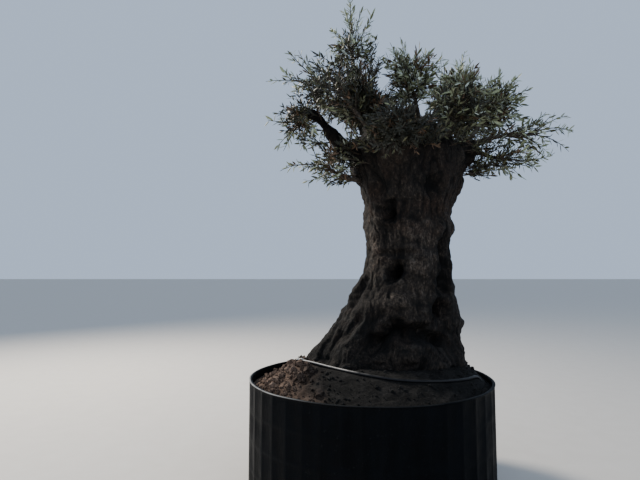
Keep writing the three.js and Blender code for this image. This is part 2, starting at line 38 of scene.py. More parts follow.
# The pot, its rows of pressed cells, and how pale wear and a painted highlight make their ribs where the rim
# is 1.
POT_RADIUS = 785
POT_HEIGHT = 680
POT_WALL = 15
POT_FLOOR = 14
POT_COLUMNS = 44
POT_ROWS = 4
CELL_DEPTH = 9
CELL_STEPS = 12
RIB_WEAR_AND_HIGHLIGHT = 0.012

# The soil: a mound round the trunk that falls away by the wall, with one heap to its left.
SOIL_RADIUS = 768.1
SOIL_EDGE = 628
MOUND_RISE = 140
MOUND_CENTRE = (90, 30)
MOUND_REACH = (760, 620)
MOUND_SLOPE = (0.6, 1.2)
WALL_FALL = (0.86, 1.0)
WALL_FALL_SHARE = 0.7
HEAP_CENTRE = (-500, -170)
HEAP_SPREAD = 150
HEAP_RISE = 58
SOIL_RINGS, SOIL_SIDES = 120, 330

# Loose clods: how many are strewn, in how many shapes, and their sizes on the slope and on the heap.
CLODS = 7000
CLOD_SEED = 52
CLOD_SHAPES = 24
CLOD_SIZES = (4.2, 8.8)
LARGEST_CLOD = 24
CLOD_FROM_PIPE = 30
CLOD_FROM_WALL = 18

# The trunk: height, centre x, centre y, half width and half depth at each level.
TRUNK_LEVELS = np.array([
    (690, 90, 80, 608, 405), (770, 115, 70, 557, 372), (860, 141, 62, 508, 338),
    (960, 172, 50, 448, 308), (1080, 222, 40, 404, 292), (1220, 242, 30, 352, 270),
    (1400, 276, 20, 290, 256), (1540, 272, 15, 280, 252), (1700, 266, 10, 292, 256),
    (1820, 274, 10, 302, 266), (1930, 282, 12, 340, 290), (2050, 272, 14, 376, 324),
    (2150, 274, 18, 398, 352), (2220, 248, 22, 370, 330), (2290, 209, 24, 262, 240),
    (2330, 194, 24, 130, 130),
], float)
TRUNK_TOP = 2338
TRUNK_RINGS, TRUNK_SIDES = 250, 300
FLUTES = 7
FLUTE_TURN = 0.00042
FLUTE_FOOT, FLUTE_HEAD = 0.13, 0.05
FLUTE_FADE = (690, 1500)

# Burls and hollows: bearing in degrees, height, half width, half height, and rise or, under 0, depth.
KNOTS = [
    (352, 1650, 70, 55, 46), (0, 1955, 80, 60, 22), (182, 1660, 90, 90, 24),
    (0, 1012, 90, 74, 66), (282, 868, 90, 80, 62), (312, 782, 110, 62, 58),
    (262, 1140, 130, 105, 42), (278, 1440, 95, 90, 38), (246, 1366, 44, 58, -120),
    (236, 1768, 52, 60, -62), (277, 990, 84, 50, -120), (254, 950, 60, 80, -58),
    (304, 930, 60, 46, -66), (314, 1420, 40, 190, -58), (306, 1120, 56, 60, -58),
    (292, 1640, 90, 70, 22), (60, 1240, 120, 110, 44), (104, 1560, 60, 80, -74),
    (128, 930, 110, 90, 56), (84, 900, 60, 90, -84), (150, 1330, 70, 130, -46),
    (40, 1820, 90, 80, 34), (150, 2080, 110, 70, 36), (330, 2120, 100, 70, 34),
    (250, 2110, 120, 80, 30),
]

# Smaller burls and hollows that only the scene's bark carries, told in the same way.
FINE_KNOTS = [
    (316, 1500, 58, 110, -46), (309, 1290, 46, 80, -44), (301, 1136, 50, 50, -52),
    (246, 1342, 40, 46, -60), (240, 1722, 38, 40, -50), (227, 1800, 44, 38, 34),
    (252, 941, 40, 36, -50), (293, 953, 50, 36, -52), (262, 1016, 46, 50, -54),
    (247, 1478, 110, 26, -24), (270, 1356, 62, 84, 30), (263, 1594, 90, 70, 24),
    (257, 1168, 80, 60, 28), (279, 883, 80, 46, 30), (260, 813, 60, 40, 24),
    (206, 1500, 50, 90, 22), (289, 1909, 60, 60, -26), (262, 1850, 60, 50, 20),
    (226, 1900, 50, 80, -24), (200, 1240, 50, 110, -26), (222, 1010, 44, 90, -30),
]

# Narrow ribs of wood that stand in the low hollow and are kept out of its painted shade.
RIBS = [
    (250, 984, 22, 64, 54), (279, 984, 24, 62, 74), (266, 950, 26, 34, 30),
]

# A hollow's depth is multiplied by the first, and a lip swells round it, placed by the hollow's half sizes.
HOLLOW_DEPTH = 1.12
LIP_RISE, LIP_PLACE, LIP_WIDTH = 13, 1.4, 0.42

# The bark's relief: how large each form is and how high it stands. Fibres, strands and cracks wander aside by
# the last two.
Form = namedtuple("Form", "size rise")
SWELLS = Form(150, 17)
LUMPS = Form(84, 19)
SMALL_LUMPS = Form(40, 11)
PLATES = Form(21, 7)
FIBRES = Form((30, 30, 150), 3.6)
STRANDS = Form((13, 13, 62), 2.6)
CRACKS = Form((58, 58, 230), 8)
WIDE_WANDER = Form(170, 34)
FINE_WANDER = Form(60, 13)
# The size of the bark's cells, and between which heights its relief fades in at the foot.
BARK_VOXEL = 8.9
BARK_FOOT = (690, 720)

# Boughs: the middle line from inside the trunk's head to the tip, with the radius at each of its points.
BOUGHS = {
    "left_bough": [
        (14, -50, 2080, 74), (-128, -85, 2160, 58), (-240, -112, 2264, 46),
        (-338, -135, 2376, 40), (-436, -150, 2418, 34),
    ],
    "centre_left_bough": [
        (134, 20, 2180, 122), (82, 30, 2330, 98), (20, 42, 2480, 80),
        (-32, 50, 2620, 66), (-92, 55, 2780, 46),
    ],
    "upper_left_bough": [
        (4, 44, 2500, 40), (-76, 10, 2560, 36), (-156, -28, 2610, 31),
        (-228, -58, 2664, 26),
    ],
    "centre_bough": [(334, 50, 2150, 118), (372, 56, 2260, 104), (386, 60, 2340, 92), (392, 62, 2398, 76)],
    "right_bough": [(484, 0, 2070, 132), (579, -8, 2126, 116), (646, -14, 2186, 94), (689, -20, 2256, 66)],
    "back_right_bough": [
        (434, 190, 2100, 96), (539, 280, 2280, 76), (619, 335, 2450, 58),
        (674, 366, 2610, 42),
    ],
    "back_left_bough": [(164, 170, 2120, 94), (104, 285, 2280, 74), (44, 385, 2440, 56), (0, 450, 2590, 40)],
}
BOUGH_STEPS, BOUGH_SIDES = 40, 28
BOUGH_TEST_STEPS, BOUGH_ROOT_STEPS = 16, 24
# The share of a bough's length that is narrower at its sawn end, and how narrow it is.
SAWN_END, SAWN_WIDTH = 0.05, 0.86

# Masses of foliage: where the stem starts inside its limb, the heart and half sizes of the mass's space, how
# far shoots arch, the seed, the number of shoots, how long side twigs are, and how pale its leaves are
# painted:
# under 0 it is painted shade, over 0 painted light. The space is an ellipsoid where the corner is 2, and
# squarer where it is more.
Mass = namedtuple("Mass", "start heart radii arch seed shoots twigs shade corner", defaults=[2])
MASSES = {
    "left_tip": Mass((-428, -149, 2416), (-475, -165, 2320), (228, 270, 210), 20, 1, 10, 0.35, 0.06),
    "left_hanging": Mass((-55, -70, 1975), (-315, -120, 2085), (315, 270, 240), -60, 2, 14, 0.3, 0.06),
    "upper_left": Mass((-222, -55, 2660), (-365, -80, 2650), (325, 290, 255), 50, 3, 15, 0.3, 0.1),
    "top": Mass((-89, 55, 2772), (-98, 40, 2935), (190, 215, 350), 30, 4, 30, 0.3, 0.1, 4),
    "inner": Mass((24, -150, 2190), (-20, -190, 2450), (270, 250, 310), 30, 5, 60, 1.0, -0.4),
    "centre": Mass((374, 40, 2390), (300, -20, 2665), (280, 290, 325), 40, 32, 42, 0.7, 0.08),
    "right_centre": Mass((419, 84, 2390), (640, 140, 2640), (285, 290, 335), 40, 34, 42, 0.7, 0.1),
    "right": Mass((686, 0, 2246), (915, 70, 2515), (265, 300, 325), 40, 8, 42, 0.65, 0.04),
    "far_right": Mass((700, -30, 2230), (1110, -70, 2285), (318, 260, 165), 50, 9, 20, 0.2, 0.04),
    "right_hanging": Mass((692, -40, 2196), (925, -60, 2125), (315, 290, 170), -30, 10, 20, 0.3, 0.0),
    "front": Mass((204, -250, 2110), (150, -420, 2215), (330, 220, 190), 20, 11, 54, 1.0, -0.6),
    "front_right": Mass((464, -210, 2160), (560, -330, 2390), (290, 260, 245), 40, 33, 28, 0.75, -0.1),
    "front_left": Mass((64, -230, 2150), (-220, -370, 2480), (265, 250, 240), 30, 13, 12, 0.4, -0.2),
    "back_left": Mass((2, 447, 2580), (-106, 480, 2650), (360, 320, 320), 40, 14, 34, 0.5, 0.0),
    "back": Mass((324, 280, 2140), (384, 560, 2550), (350, 310, 330), 40, 31, 42, 0.6, 0.0),
    "back_right": Mass((672, 365, 2600), (790, 430, 2530), (320, 320, 320), 40, 16, 38, 0.55, 0.0),
}
# The masses whose twigs, and whose leaves, are joined into one piece each, with the sprouts of these limbs.
CROWN_PARTS = {
    "left": (["left_tip", "left_hanging", "upper_left"], ["left_bough", "upper_left_bough"]),
    "top": (["top", "inner"], ["centre_left_bough"]),
    "front": (["front", "front_left", "front_right"], ["head"]),
    "centre": (["centre", "right_centre"], ["centre_bough"]),
    "right": (["right", "far_right", "right_hanging"], ["right_bough"]),
    "back": (["back_left", "back", "back_right"], ["back_left_bough", "back_right_bough"]),
}

# Sprouts: short leafy shoots straight on the boughs and round the head, where they gather at its sides and
# reach lower there. A sprout's first points lie by its limb and aren't tested.
SPROUTS = Mass(None, None, None, 20, 61, 0, 0.7, -0.26)
SPROUT_SPACING = 17
SPROUT_SPAN = (0.3, 1.0)
SPROUTS_ON_HEAD = 150
SPROUT_LENGTHS = (110, 290)
SPROUT_RISE = (0.1, 0.9)
HEAD_LEVELS = (2130, 2310)
HEAD_SIDE_DROP = 280
HEAD_SIDE_GATHER = 0.3
HEAD_ROOT_DEPTH = 20
BOUGH_ROOT_DEPTH = 6
UNTESTED_POINTS = 4

# The growing rule. How far a shoot reaches is a random share to a power, which is lowest straight on. Side
# twigs turn up, or down in a mass that arches lower than HANGING_ARCH.
STEM_POINTS, STEM_SIDES = 12, 10
STEM_RADII = (17, 8)
SHOOT_SPREAD = 1.6
SHOOT_STARTS = (0.3, 1.0)
SHOOT_RADII = (4.6, 1.3)
SHOOT_REACHES = (0.4, 1.03)
REACH_POWERS = (1.35, -0.8)
SHOOT_POINTS, SHOOT_SIDES = 12, 5
SHOOT_TURN = 0.4
SHOOT_STRAY = 16
SHOOT_FOLLOW = 0.22
ARCH_SHARES = (-0.5, 1.2)
SHORTEST_SHARE = 0.3
TWIG_SPAN = (0.08, 0.58)
TWIG_SPACING = 34
TWIG_CHANCE = 0.8
TWIG_LENGTHS = (60, 190)
SHORTEST_TWIG = 30
TWIG_LEAN = (0.5, 1.0)
TWIG_LIFT = (-0.05, 0.3)
HANGING_ARCH = -45
TWIG_RADII = (1.6, 0.8)
TWIG_POINTS, TWIG_SIDES = 5, 3
PAIR_TURN = math.pi / 2 + 0.3
# Leaves: where they begin along a shoot or twig, how far apart the pairs are, how large they are at its foot
# and how much that grows up to its tip. Those of a dark mass are smaller by this share of its shade.
Leafing = namedtuple("Leafing", "first spacing size change")
ON_SHOOTS = Leafing(0.28, 28, 0.68, 0.32)
ON_TWIGS = Leafing(0.12, 16, 0.6, 0.12)
INNER_LEAF_SHARE = 0.4
LEAF_CHANCE = 0.94
LEAF_LENGTHS = (46, 74)
LEAF_LEAN = (0.45, 1.05)
LEAF_WIDTH_SHARE = 0.25
LEAF_FOLD = 0.32
# A blade's corners: their shares of its length and half width, and of the height of its fold.
BLADE = [
    (0.0, 0, 0),
    (0.3, -0.92, 0), (0.3, 0, 1), (0.3, 0.92, 0),
    (0.66, -0.84, 0), (0.66, 0, 1), (0.66, 0.84, 0),
    (1.0, 0, 0.2),
]
BLADE_FACES = [
    (0, 2, 1), (0, 3, 2), (1, 2, 5), (1, 5, 4),
    (2, 3, 6), (2, 6, 5), (4, 5, 7), (5, 6, 7),
]
# How far a mass may reach past the plane to its neighbour, and how far it keeps from boughs and trunk.
NEIGHBOUR_SLACK = 170
LIMB_MARGIN = 12
TRUNK_MARGIN = 24

# Where a spray's tone passes from one leaf colour to the next, and the two other colours by number.
TONE_STEPS = [0.26, 0.46, 0.66, 0.84]
SILVER_BACK, DRY_LEAF = 4, 5
SILVER_BACKS = 0.22
DRY_SPRAYS = 0.09

# The camera at the photo's viewing angle. Lens and sensor are in millimetres, and the tilt up is in degrees.
EYE = np.array([-326.0, -3250.0, 1330.0])
LENS = 27.06
SENSOR = 36
TILT = 4.39
FURTHEST = 1000

# Openings where the sky shows through the crown: x and z where the middle's line of sight crosses y 0, half
# width and half height. Shoots and twigs keep out of the first share of one, though some cross it, and single
# leaves reach in as far as the second.
SKY_OPENINGS = [
    (104, 2672, 54, 88), (-600, 2560, 120, 70), (-182, 2352, 64, 84), (-372, 2198, 66, 42),
    (-34, 2312, 32, 36), (378, 2478, 48, 60), (556, 2250, 54, 42),
]
OPENING_SHARE = 0.85
OPENING_OVERLAP = 0.12
CROSSING_CHANCE = 0.3

# The drip pipe by its plan, and the plug on its left end.
PIPE_RADIUS = 9
PIPE_SUNK = 3
PIPE_STEPS, PIPE_SIDES = 90, 18
PIPE_TEST_STEPS = 60
PIPE_PLAN = [
    (-454, -126), (-380, -180), (-258, -250), (-91, -380), (130, -455),
    (365, -428), (534, -345), (632, -248), (700, -150),
]
PLUG_RADIUS = 16
PLUG_LENGTH = 42
PLUG_SIDES = 24
# The plug's outline: places from its middle in half lengths, and shares of its radius.
PLUG_OUTLINE = [
    (-1, 0.8), (-0.92, 1), (-0.35, 1), (-0.3, 0.86),
    (0.3, 0.86), (0.35, 1), (0.9, 1), (1, 0.85),
]

# The stage, in metres: the floor's half width, the sky, and each light's place, aim, width, watts and colour.
FLOOR_REACH = 300
SKY_COLOUR = (0.62, 0.77, 1.0, 1)
SKY_STRENGTH = 0.8
LIGHTS = {
    "high_left_back": ((-5.5, 4.0, 6.5), (0.1, 0, 1.9), 2.2, 1300, (1.0, 0.93, 0.82)),
    "front_left": ((-5.5, -4.0, 3.5), (0.1, 0, 1.6), 4.0, 80, (1.0, 0.98, 0.95)),
    "front_right": ((4.5, -5.0, 3.0), (0.1, 0, 1.4), 4.0, 50, (0.93, 0.96, 1.0)),
}


# Materials.


class Value:
    """What one socket gives. Arithmetic on it adds Math nodes."""

    def __init__(self, finish, socket):
        self.finish = finish
        self.socket = socket

    def __add__(self, other):
        return self.finish.math("ADD", self, other)

    __radd__ = __add__

    def __sub__(self, other):
        return self.finish.math("SUBTRACT", self, other)

    def __rsub__(self, other):
        return self.finish.math("SUBTRACT", other, self)

    def __mul__(self, other):
        return self.finish.math("MULTIPLY", self, other)

    __rmul__ = __mul__


class Finish:
    """A material made of nodes round one Principled shader, whose fixed sockets are given by name."""

    def __init__(self, name, **fixed):
        self.material = bpy.data.materials.new(name)
        self.material.use_nodes = True
        tree = self.material.node_tree
        tree.nodes.clear()
        self.nodes = tree.nodes
        self.links = tree.links
        self.shader = self.nodes.new("ShaderNodeBsdfPrincipled")
        output = self.nodes.new("ShaderNodeOutputMaterial")
        self.links.new(self.shader.outputs[0], output.inputs["Surface"])
        for socket, value in fixed.items():
            self.shader.inputs[socket.replace("_", " ")].default_value = value
        self.place = self.node("ShaderNodeTexCoord", output="Object")

    def node(self, kind, settings=None, sockets=None, output=0):
        """Adds a node: its settings first, then a value or a link for each socket. Gives one output."""
        node = self.nodes.new(kind)
        for name, value in (settings or {}).items():
            if name == "stops":
                ramp = node.color_ramp
                while len(ramp.elements) < len(value):
                    ramp.elements.new(1)
                for element, (place, colour) in zip(ramp.elements, value):
                    element.position = place
                    element.color = (*colour, 1)
            else:
                setattr(node, name, value)
        for name, value in (sockets or {}).items():
            self.feed(node.inputs[name], value)
        return Value(self, node.outputs[output])

    def feed(self, socket, value):
        if isinstance(value, Value):
            self.links.new(value.socket, socket)
        else:
            socket.default_value = value

    def math(self, operation, *values):
        return self.node("ShaderNodeMath", {"operation": operation}, dict(enumerate(values)))

    def noise(self, scale, detail=3, roughness=0.55, distortion=0):
        """Noise at one scale, or at one for each axis."""
        place = self.place
        if isinstance(scale, tuple):
            place = self.node("ShaderNodeVectorMath", {"operation": "MULTIPLY"}, {0: place, 1: scale})
            scale = 1
        names = ("Vector", "Scale", "Detail", "Roughness", "Distortion")
        values = (place, scale, detail, roughness, distortion)
        return self.node("ShaderNodeTexNoise", None, dict(zip(names, values)))

    def band(self, value, low, high):
        """0 where a value is under low, 1 where it is over high, and smooth between."""
        settings = {"interpolation_type": "SMOOTHSTEP"}
        return self.node("ShaderNodeMapRange", settings, {0: value, 1: low, 2: high})

    def ramp(self, value, *stops):
        return self.node("ShaderNodeValToRGB", {"stops": stops}, {0: value})

    def blend(self, factor, first, second):
        """A colour from the first, where the factor is 0, to the second."""
        first, second = (c if isinstance(c, Value) else (*c, 1) for c in (first, second))
        return self.node("ShaderNodeMix", {"data_type": "RGBA"}, {0: factor, 6: first, 7: second}, 2)

    def across(self):
        return self.node("ShaderNodeSeparateXYZ", None, {0: self.place}, "X")

    def height(self):
        return self.node("ShaderNodeSeparateXYZ", None, {0: self.place}, "Z")

    def attribute(self, name):
        return self.node("ShaderNodeAttribute", {"attribute_name": name}, None, "Fac")

    def bump(self, height, distance, strength=1.0):
        sockets = {"Height": height, "Distance": distance, "Strength": strength}
        return self.node("ShaderNodeBump", None, sockets)

    def finish(self, colour, roughness=None, normal=None):
        for socket, value in {"Base Color": colour, "Roughness": roughness, "Normal": normal}.items():
            if value is not None:
                self.feed(self.shader.inputs[socket], value)
        return self.material


def bark_finish():
    """Grey-brown fibrous bark, pale on the ridges, with painted shade in the creases and hollows. It is
    red-brown in patches on the head, with painted shade under the crown, on its left side and towards the
    foot, where crumbs of earth lie on it."""
    f = Finish("fissured_bark", Specular_IOR_Level=0.2)
    crease = f.attribute("crease")
    fibres = f.noise((56, 56, 15), 5, 0.64, 0.8)
    grain = f.noise((190, 190, 90), 6, 0.70, 0.4)
    knobs = f.noise((78, 78, 52), 4, 0.62, 0.6)
    patches = f.noise(3.4, 4, 0.6)
    lichen = f.band(f.noise(11, 5, 0.65), 0.56, 0.72)
    # Painted shade: the bark is made darker downwards from about 1.5 m to its foot, where crumbs of earth
    # also lie.
    foot_shade_and_crumbs = 1 - f.band(f.height() + 0.2 * patches, 0.85, 1.5)
    # Painted shade: the bark is made darker on its left side.
    left_side_shade = 1 - f.band(f.across(), -0.40, 0.12)
    tone = 0.36 * fibres + 0.26 * grain + 0.38 * knobs + 0.05 * f.attribute("swell") - 0.02
    tone = tone - 0.058 * foot_shade_and_crumbs - 0.055 * left_side_shade
    grey = f.ramp(
        tone,
        (0.36, (0.003, 0.0024, 0.002)),
        (0.455, (0.017, 0.013, 0.0105)),
        (0.53, (0.044, 0.034, 0.0265)),
        (0.65, (0.150, 0.120, 0.096)),
    )
    red = f.ramp(
        tone,
        (0.34, (0.007, 0.004, 0.003)),
        (0.50, (0.040, 0.022, 0.014)),
        (0.68, (0.120, 0.074, 0.050)),
    )
    head = f.band(f.height(), 1.45, 1.9)
    redness = f.band(patches + 0.10 * head, 0.54, 0.72)
    colour = f.blend(0.6 * redness, grey, red)
    colour = f.blend(0.3 * lichen, colour, (0.105, 0.098, 0.086))
    crumbs = f.band(f.noise(78, 5, 0.72), 0.54, 0.70)
    colour = f.blend(0.55 * crumbs * foot_shade_and_crumbs, colour, (0.092, 0.077, 0.064))
    shaded = f.band(f.height() + 0.25 * patches, 1.85, 2.35)
    colour = f.blend(0.6 * shaded, colour, (0.008, 0.007, 0.006))
    # Painted shade: the creases, cracks, seams and hollows are darkened nearly to black.
    colour = f.blend(0.93 * crease, colour, (0.003, 0.003, 0.003))
    relief = fibres + 0.5 * grain + 1.1 * knobs
    return f.finish(colour, 0.98 - 0.18 * tone, f.bump(relief, 0.012, 1.0))


def leaf_finish(name, light, dark, roughness):
    """A leaf's plain colour with a faint mottle."""
    f = Finish(name, Specular_IOR_Level=0.45)
    mottle = f.noise(55, 2)
    return f.finish(f.blend(f.band(mottle, 0.3, 0.7), dark, light), roughness + 0.12 * mottle)


def twig_finish():
    """Thin grey-brown bark with a fine grain."""
    f = Finish("twig_bark", Specular_IOR_Level=0.25)
    mottle = f.noise(70, 3)
    colour = f.ramp(
        mottle,
        (0.3, (0.020, 0.015, 0.011)),
        (0.5, (0.048, 0.036, 0.027)),
        (0.7, (0.105, 0.085, 0.064)),
    )
    return f.finish(colour, 0.75 + 0.2 * mottle, f.bump(f.noise(260, 2), 0.002, 0.5))


def pot_finish():
    """Black sheet plastic, dull with dust, and pale along the rim and ribs with wear and a painted highlight,
    most of all at its left.
    """
    f = Finish("dusty_black_plastic", Specular_IOR_Level=0.05)
    dust = f.noise(5, 6, 0.65)
    streaks = f.noise((26, 26, 2.2), 4, 0.6)
    scuffs = f.band(f.noise(48, 6, 0.7), 0.60, 0.74)
    edge = f.attribute("edge")
    film = f.band(0.6 * dust + 0.4 * streaks, 0.38, 0.68)
    colour = f.blend(film, (0.0007, 0.0012, 0.0019), (0.0030, 0.0038, 0.0050))
    colour = f.blend(0.14 * scuffs, colour, (0.07, 0.07, 0.07))
    foot = 1 - f.band(f.height(), 0.0, 0.16)
    colour = f.blend(0.35 * foot * film, colour, (0.10, 0.08, 0.064))
    # Painted highlight: the rim and ribs are pale where dusty, and far paler at the left where the light
    # grazes them.
    left = 1 - f.band(f.across(), -0.80, -0.30)
    worn_and_highlight = edge * f.band(dust, 0.25, 0.60) * (0.02 + 0.78 * left)
    colour = f.blend(worn_and_highlight, colour, (0.50, 0.49, 0.47))
    roughness = 0.50 + 0.28 * film + 0.15 * scuffs
    drawn = f.noise((70, 70, 16), 4, 0.6)
    return f.finish(colour, roughness, f.bump(drawn, 0.003, 0.5))


def pipe_finish():
    """Black plastic pipe, painted pale in dusty patches on its upper side at the left as a highlight."""
    f = Finish("black_pipe_dust_and_highlight", Specular_IOR_Level=0.25)
    dust = f.noise(24, 5, 0.65)
    # Painted highlight: the upper side is pale at the left in dusty patches, and the rest stays black.
    left = 1 - f.band(f.across(), -0.30, 0.0)
    film = f.band(dust + 0.22 * left, 0.42, 0.7) * f.band(f.attribute("upper"), 0.35, 0.9)
    colour = f.blend(film * (0.03 + 0.97 * left), (0.005, 0.005, 0.006), (0.50, 0.47, 0.43))
    return f.finish(colour, 0.45 + 0.3 * film, f.bump(f.noise(180, 3), 0.001, 0.4))


def earth_finish(name, shift):
    """Dry crumbly earth, pinkish brown where fresh and dark grey on the slope, all paler by the shift."""
    f = Finish(name, Specular_IOR_Level=0.15)
    crumbs = f.noise(95, 6, 0.7)
    tone = 0.5 * crumbs + 0.5 * f.noise(15, 5, 0.62)
    patches = f.noise(3.1, 3)

    def ramp(darkest, middle, palest):
        middle, palest = ([part + shift for part in colour] for colour in (middle, palest))
        return f.ramp(tone, (0.30, darkest), (0.48, middle), (0.66, palest))

    pink = ramp((0.022, 0.014, 0.009), (0.074, 0.047, 0.033), (0.205, 0.142, 0.104))
    grey = ramp((0.003, 0.0025, 0.002), (0.005, 0.0046, 0.0042), (0.021, 0.019, 0.017))
    fresh = f.band(0.45 * patches - f.across(), 0.48, 0.80)
    colour = f.blend(fresh, grey, pink)
    return f.finish(colour, 0.98, f.bump(crumbs + 0.5 * f.noise(300, 3), 0.006, 0.8))


def floor_finish():
    """A pale matt floor with faint specks."""
    f = Finish("pale_floor", Specular_IOR_Level=0.1, Roughness=0.9)
    speck = f.noise(6, 3)
    return f.finish(f.blend(speck, (0.54, 0.51, 0.47), (0.60, 0.57, 0.53)))


# Meshes.


def add_attributes(mesh, attributes):
    """A number at each point under each name, for the materials to read."""
    for name, values in attributes.items():
        mesh.attributes.new(name, "FLOAT", "POINT").data.foreach_set("value", values)


def add_piece(name, vertices, faces, materials, slots=None, smooth=True, attributes=None):
    """A mesh object from points in millimetres and faces that all have the same number of corners."""
    vertices = np.asarray(vertices, float) * MM
    faces = np.asarray(faces, int)
    mesh = bpy.data.meshes.new(name)
    mesh.vertices.add(len(vertices))
    mesh.vertices.foreach_set("co", vertices.ravel())
    mesh.loops.add(faces.size)
    mesh.polygons.add(len(faces))
    mesh.polygons.foreach_set("loop_start", np.arange(len(faces)) * faces.shape[1])
    mesh.polygons.foreach_set("vertices", faces.ravel())
    mesh.polygons.foreach_set("use_smooth", np.full(len(faces), smooth))
    for material in materials:
        mesh.materials.append(material)
    if slots is not None:
        mesh.polygons.foreach_set("material_index", slots)
    add_attributes(mesh, attributes or {})
    mesh.update(calc_edges=True)
    piece = bpy.data.objects.new(name, mesh)
    bpy.context.scene.collection.objects.link(piece)
    return piece


def dress(piece, slot, *nodes):
    """Every piece rides on the one body and stands for its nodes, which are hidden. The slot is not used."""
    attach(piece, "root")
    if nodes:
        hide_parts(*nodes)
    return piece


def smoothstep(low, high, value):
    t = np.clip((value - low) / (high - low), 0, 1)
    return t * t * (3 - 2 * t)


def unit(vectors):
    return vectors / np.maximum(np.linalg.norm(vectors, axis=-1, keepdims=True), 1e-9)


def field(points, scale, shift=0):
    """Smooth noise from about -1 to 1 at each point, for one scale or one to each axis, in millimetres."""
    places = points / np.asarray(scale, float) + shift
    return np.array([noise.noise(place) for place in places.tolist()])


def pebbles(points, scale, shift=0):
    """Rounded lumps: about 1 at the middle of each and 0 where they meet."""
    places = (points / scale + shift).tolist()
    return 1 - np.array([noise.voronoi(place)[0][0] for place in places])


def round_angles(sides):
    return np.arange(sides) * 2 * math.pi / sides


def grid_faces(rows, columns):
    """Faces of a grid of points that is closed round its columns."""
    row, column = np.meshgrid(np.arange(rows - 1), np.arange(columns), indexing="ij")
    following = (column + 1) % columns
    corners = [row * columns + column, row * columns + following]
    corners += [corners[1] + columns, corners[0] + columns]
    return np.stack(corners, -1).reshape(-1, 4)


def capped_faces(rings, sides):
    """Triangles of a tube's wall and ends. The middles of its ends come after the points of its rings."""
    wall = grid_faces(rings, sides)
    side = np.arange(sides)
    following = (side + 1) % sides
    first, high = rings * sides, (rings - 1) * sides
    foot = np.stack([np.full(sides, first), following, side], 1)
    tip = np.stack([np.full(sides, first + 1), high + side, high + following], 1)
    return np.concatenate([wall[:, [0, 1, 2]], wall[:, [0, 2, 3]], foot, tip])


def repeated(faces, count, points):
    """The faces of one shape again for each of many, which have so many points apiece."""
    shift = np.arange(count)[:, None, None] * points
    return (np.asarray(faces)[None] + shift).reshape(-1, 3)


def read_rows(values, shares):
    """Each line's value at its own share of the way along it."""
    place = shares * (values.shape[1] - 1)
    step = np.minimum(place.astype(int), values.shape[1] - 2)
    part = (place - step).reshape(-1, *[1] * (values.ndim - 2))
    rows = np.arange(len(values))
    return values[rows, step] * (1 - part) + values[rows, step + 1] * part


def smooth_line(points, count):
    """Evenly many points on a smooth curve through the given ones."""
    points = np.asarray(points, float)
    rows = []
    for place in np.linspace(0, len(points) - 1, count):
        step = min(int(place), len(points) - 2)
        before, first = points[max(step - 1, 0)], points[step]
        second, after = points[step + 1], points[min(step + 2, len(points) - 1)]
        t = place - step
        leave, arrive = (second - before) / 2, (after - first) / 2
        bend = 3 * (second - first) - 2 * leave - arrive
        settle = 2 * (first - second) + leave + arrive
        rows.append(first + t * (leave + t * (bend + t * settle)))
    return np.array(rows)


def frames_along(lines):
    """The way each line runs at each point, and two directions across it that turn as little as they can."""
    after = np.concatenate([lines[:, 1:], lines[:, -1:]], 1)
    before = np.concatenate([lines[:, :1], lines[:, :-1]], 1)
    along = unit(after - before)
    current = np.cross(UP, along[:, 0])
    weak = np.linalg.norm(current, axis=1) < 0.1
    current[weak] = (1, 0, 0)
    across = np.empty_like(lines)
    for i in range(lines.shape[1]):
        ahead = along[:, i]
        current = unit(current - (current * ahead).sum(1, keepdims=True) * ahead)
        across[:, i] = current
    return along, across, np.cross(along, across)


def tubes(lines, radii, sides):
    """Closed tubes round lines of points: their points and their triangles."""
    count, steps = lines.shape[:2]
    _, across, other = frames_along(lines)
    turn = round_angles(sides)
    spokes = across[:, :, None] * np.cos(turn)[:, None] + other[:, :, None] * np.sin(turn)[:, None]
    rings = lines[:, :, None] + spokes * radii[:, :, None, None]
    points = np.concatenate([rings.reshape(count, -1, 3), lines[:, :1], lines[:, -1:]], 1)
    return points.reshape(-1, 3), repeated(capped_faces(steps, sides), count, points.shape[1])


def join(parts):
    """Several lots of points and faces as one."""
    points, faces, offset = [], [], 0
    for part_points, part_faces in parts:
        points.append(part_points)
        faces.append(part_faces + offset)
        offset += len(part_points)
    return np.concatenate(points), np.concatenate(faces)


# Trunk and boughs.


def knot_places(angle, height, radius, knot):
    """How far a point is from a knot's middle, in its half widths across and its half heights up."""
    bearing, level, wide, tall, _ = knot
    turn = angle - math.radians(bearing)
    across = np.arctan2(np.sin(turn), np.cos(turn)) * radius / wide
    return across, (height - level) / tall


def knot_rise(angle, height, radius):
    """Burls stand out round, and hollows go in steeply with a swollen lip."""
    rise = np.zeros_like(angle)
    for knot in KNOTS + FINE_KNOTS + RIBS:
        across, up = knot_places(angle, height, radius, knot)
        away = across**2 + up**2
        if knot[4] > 0:
            rise += knot[4] * np.exp(-away)
        else:
            lip = np.exp(-(((np.sqrt(away) - LIP_PLACE) / LIP_WIDTH) ** 2))
            rise += HOLLOW_DEPTH * knot[4] * np.exp(-(away**1.5)) + LIP_RISE * lip
    return rise


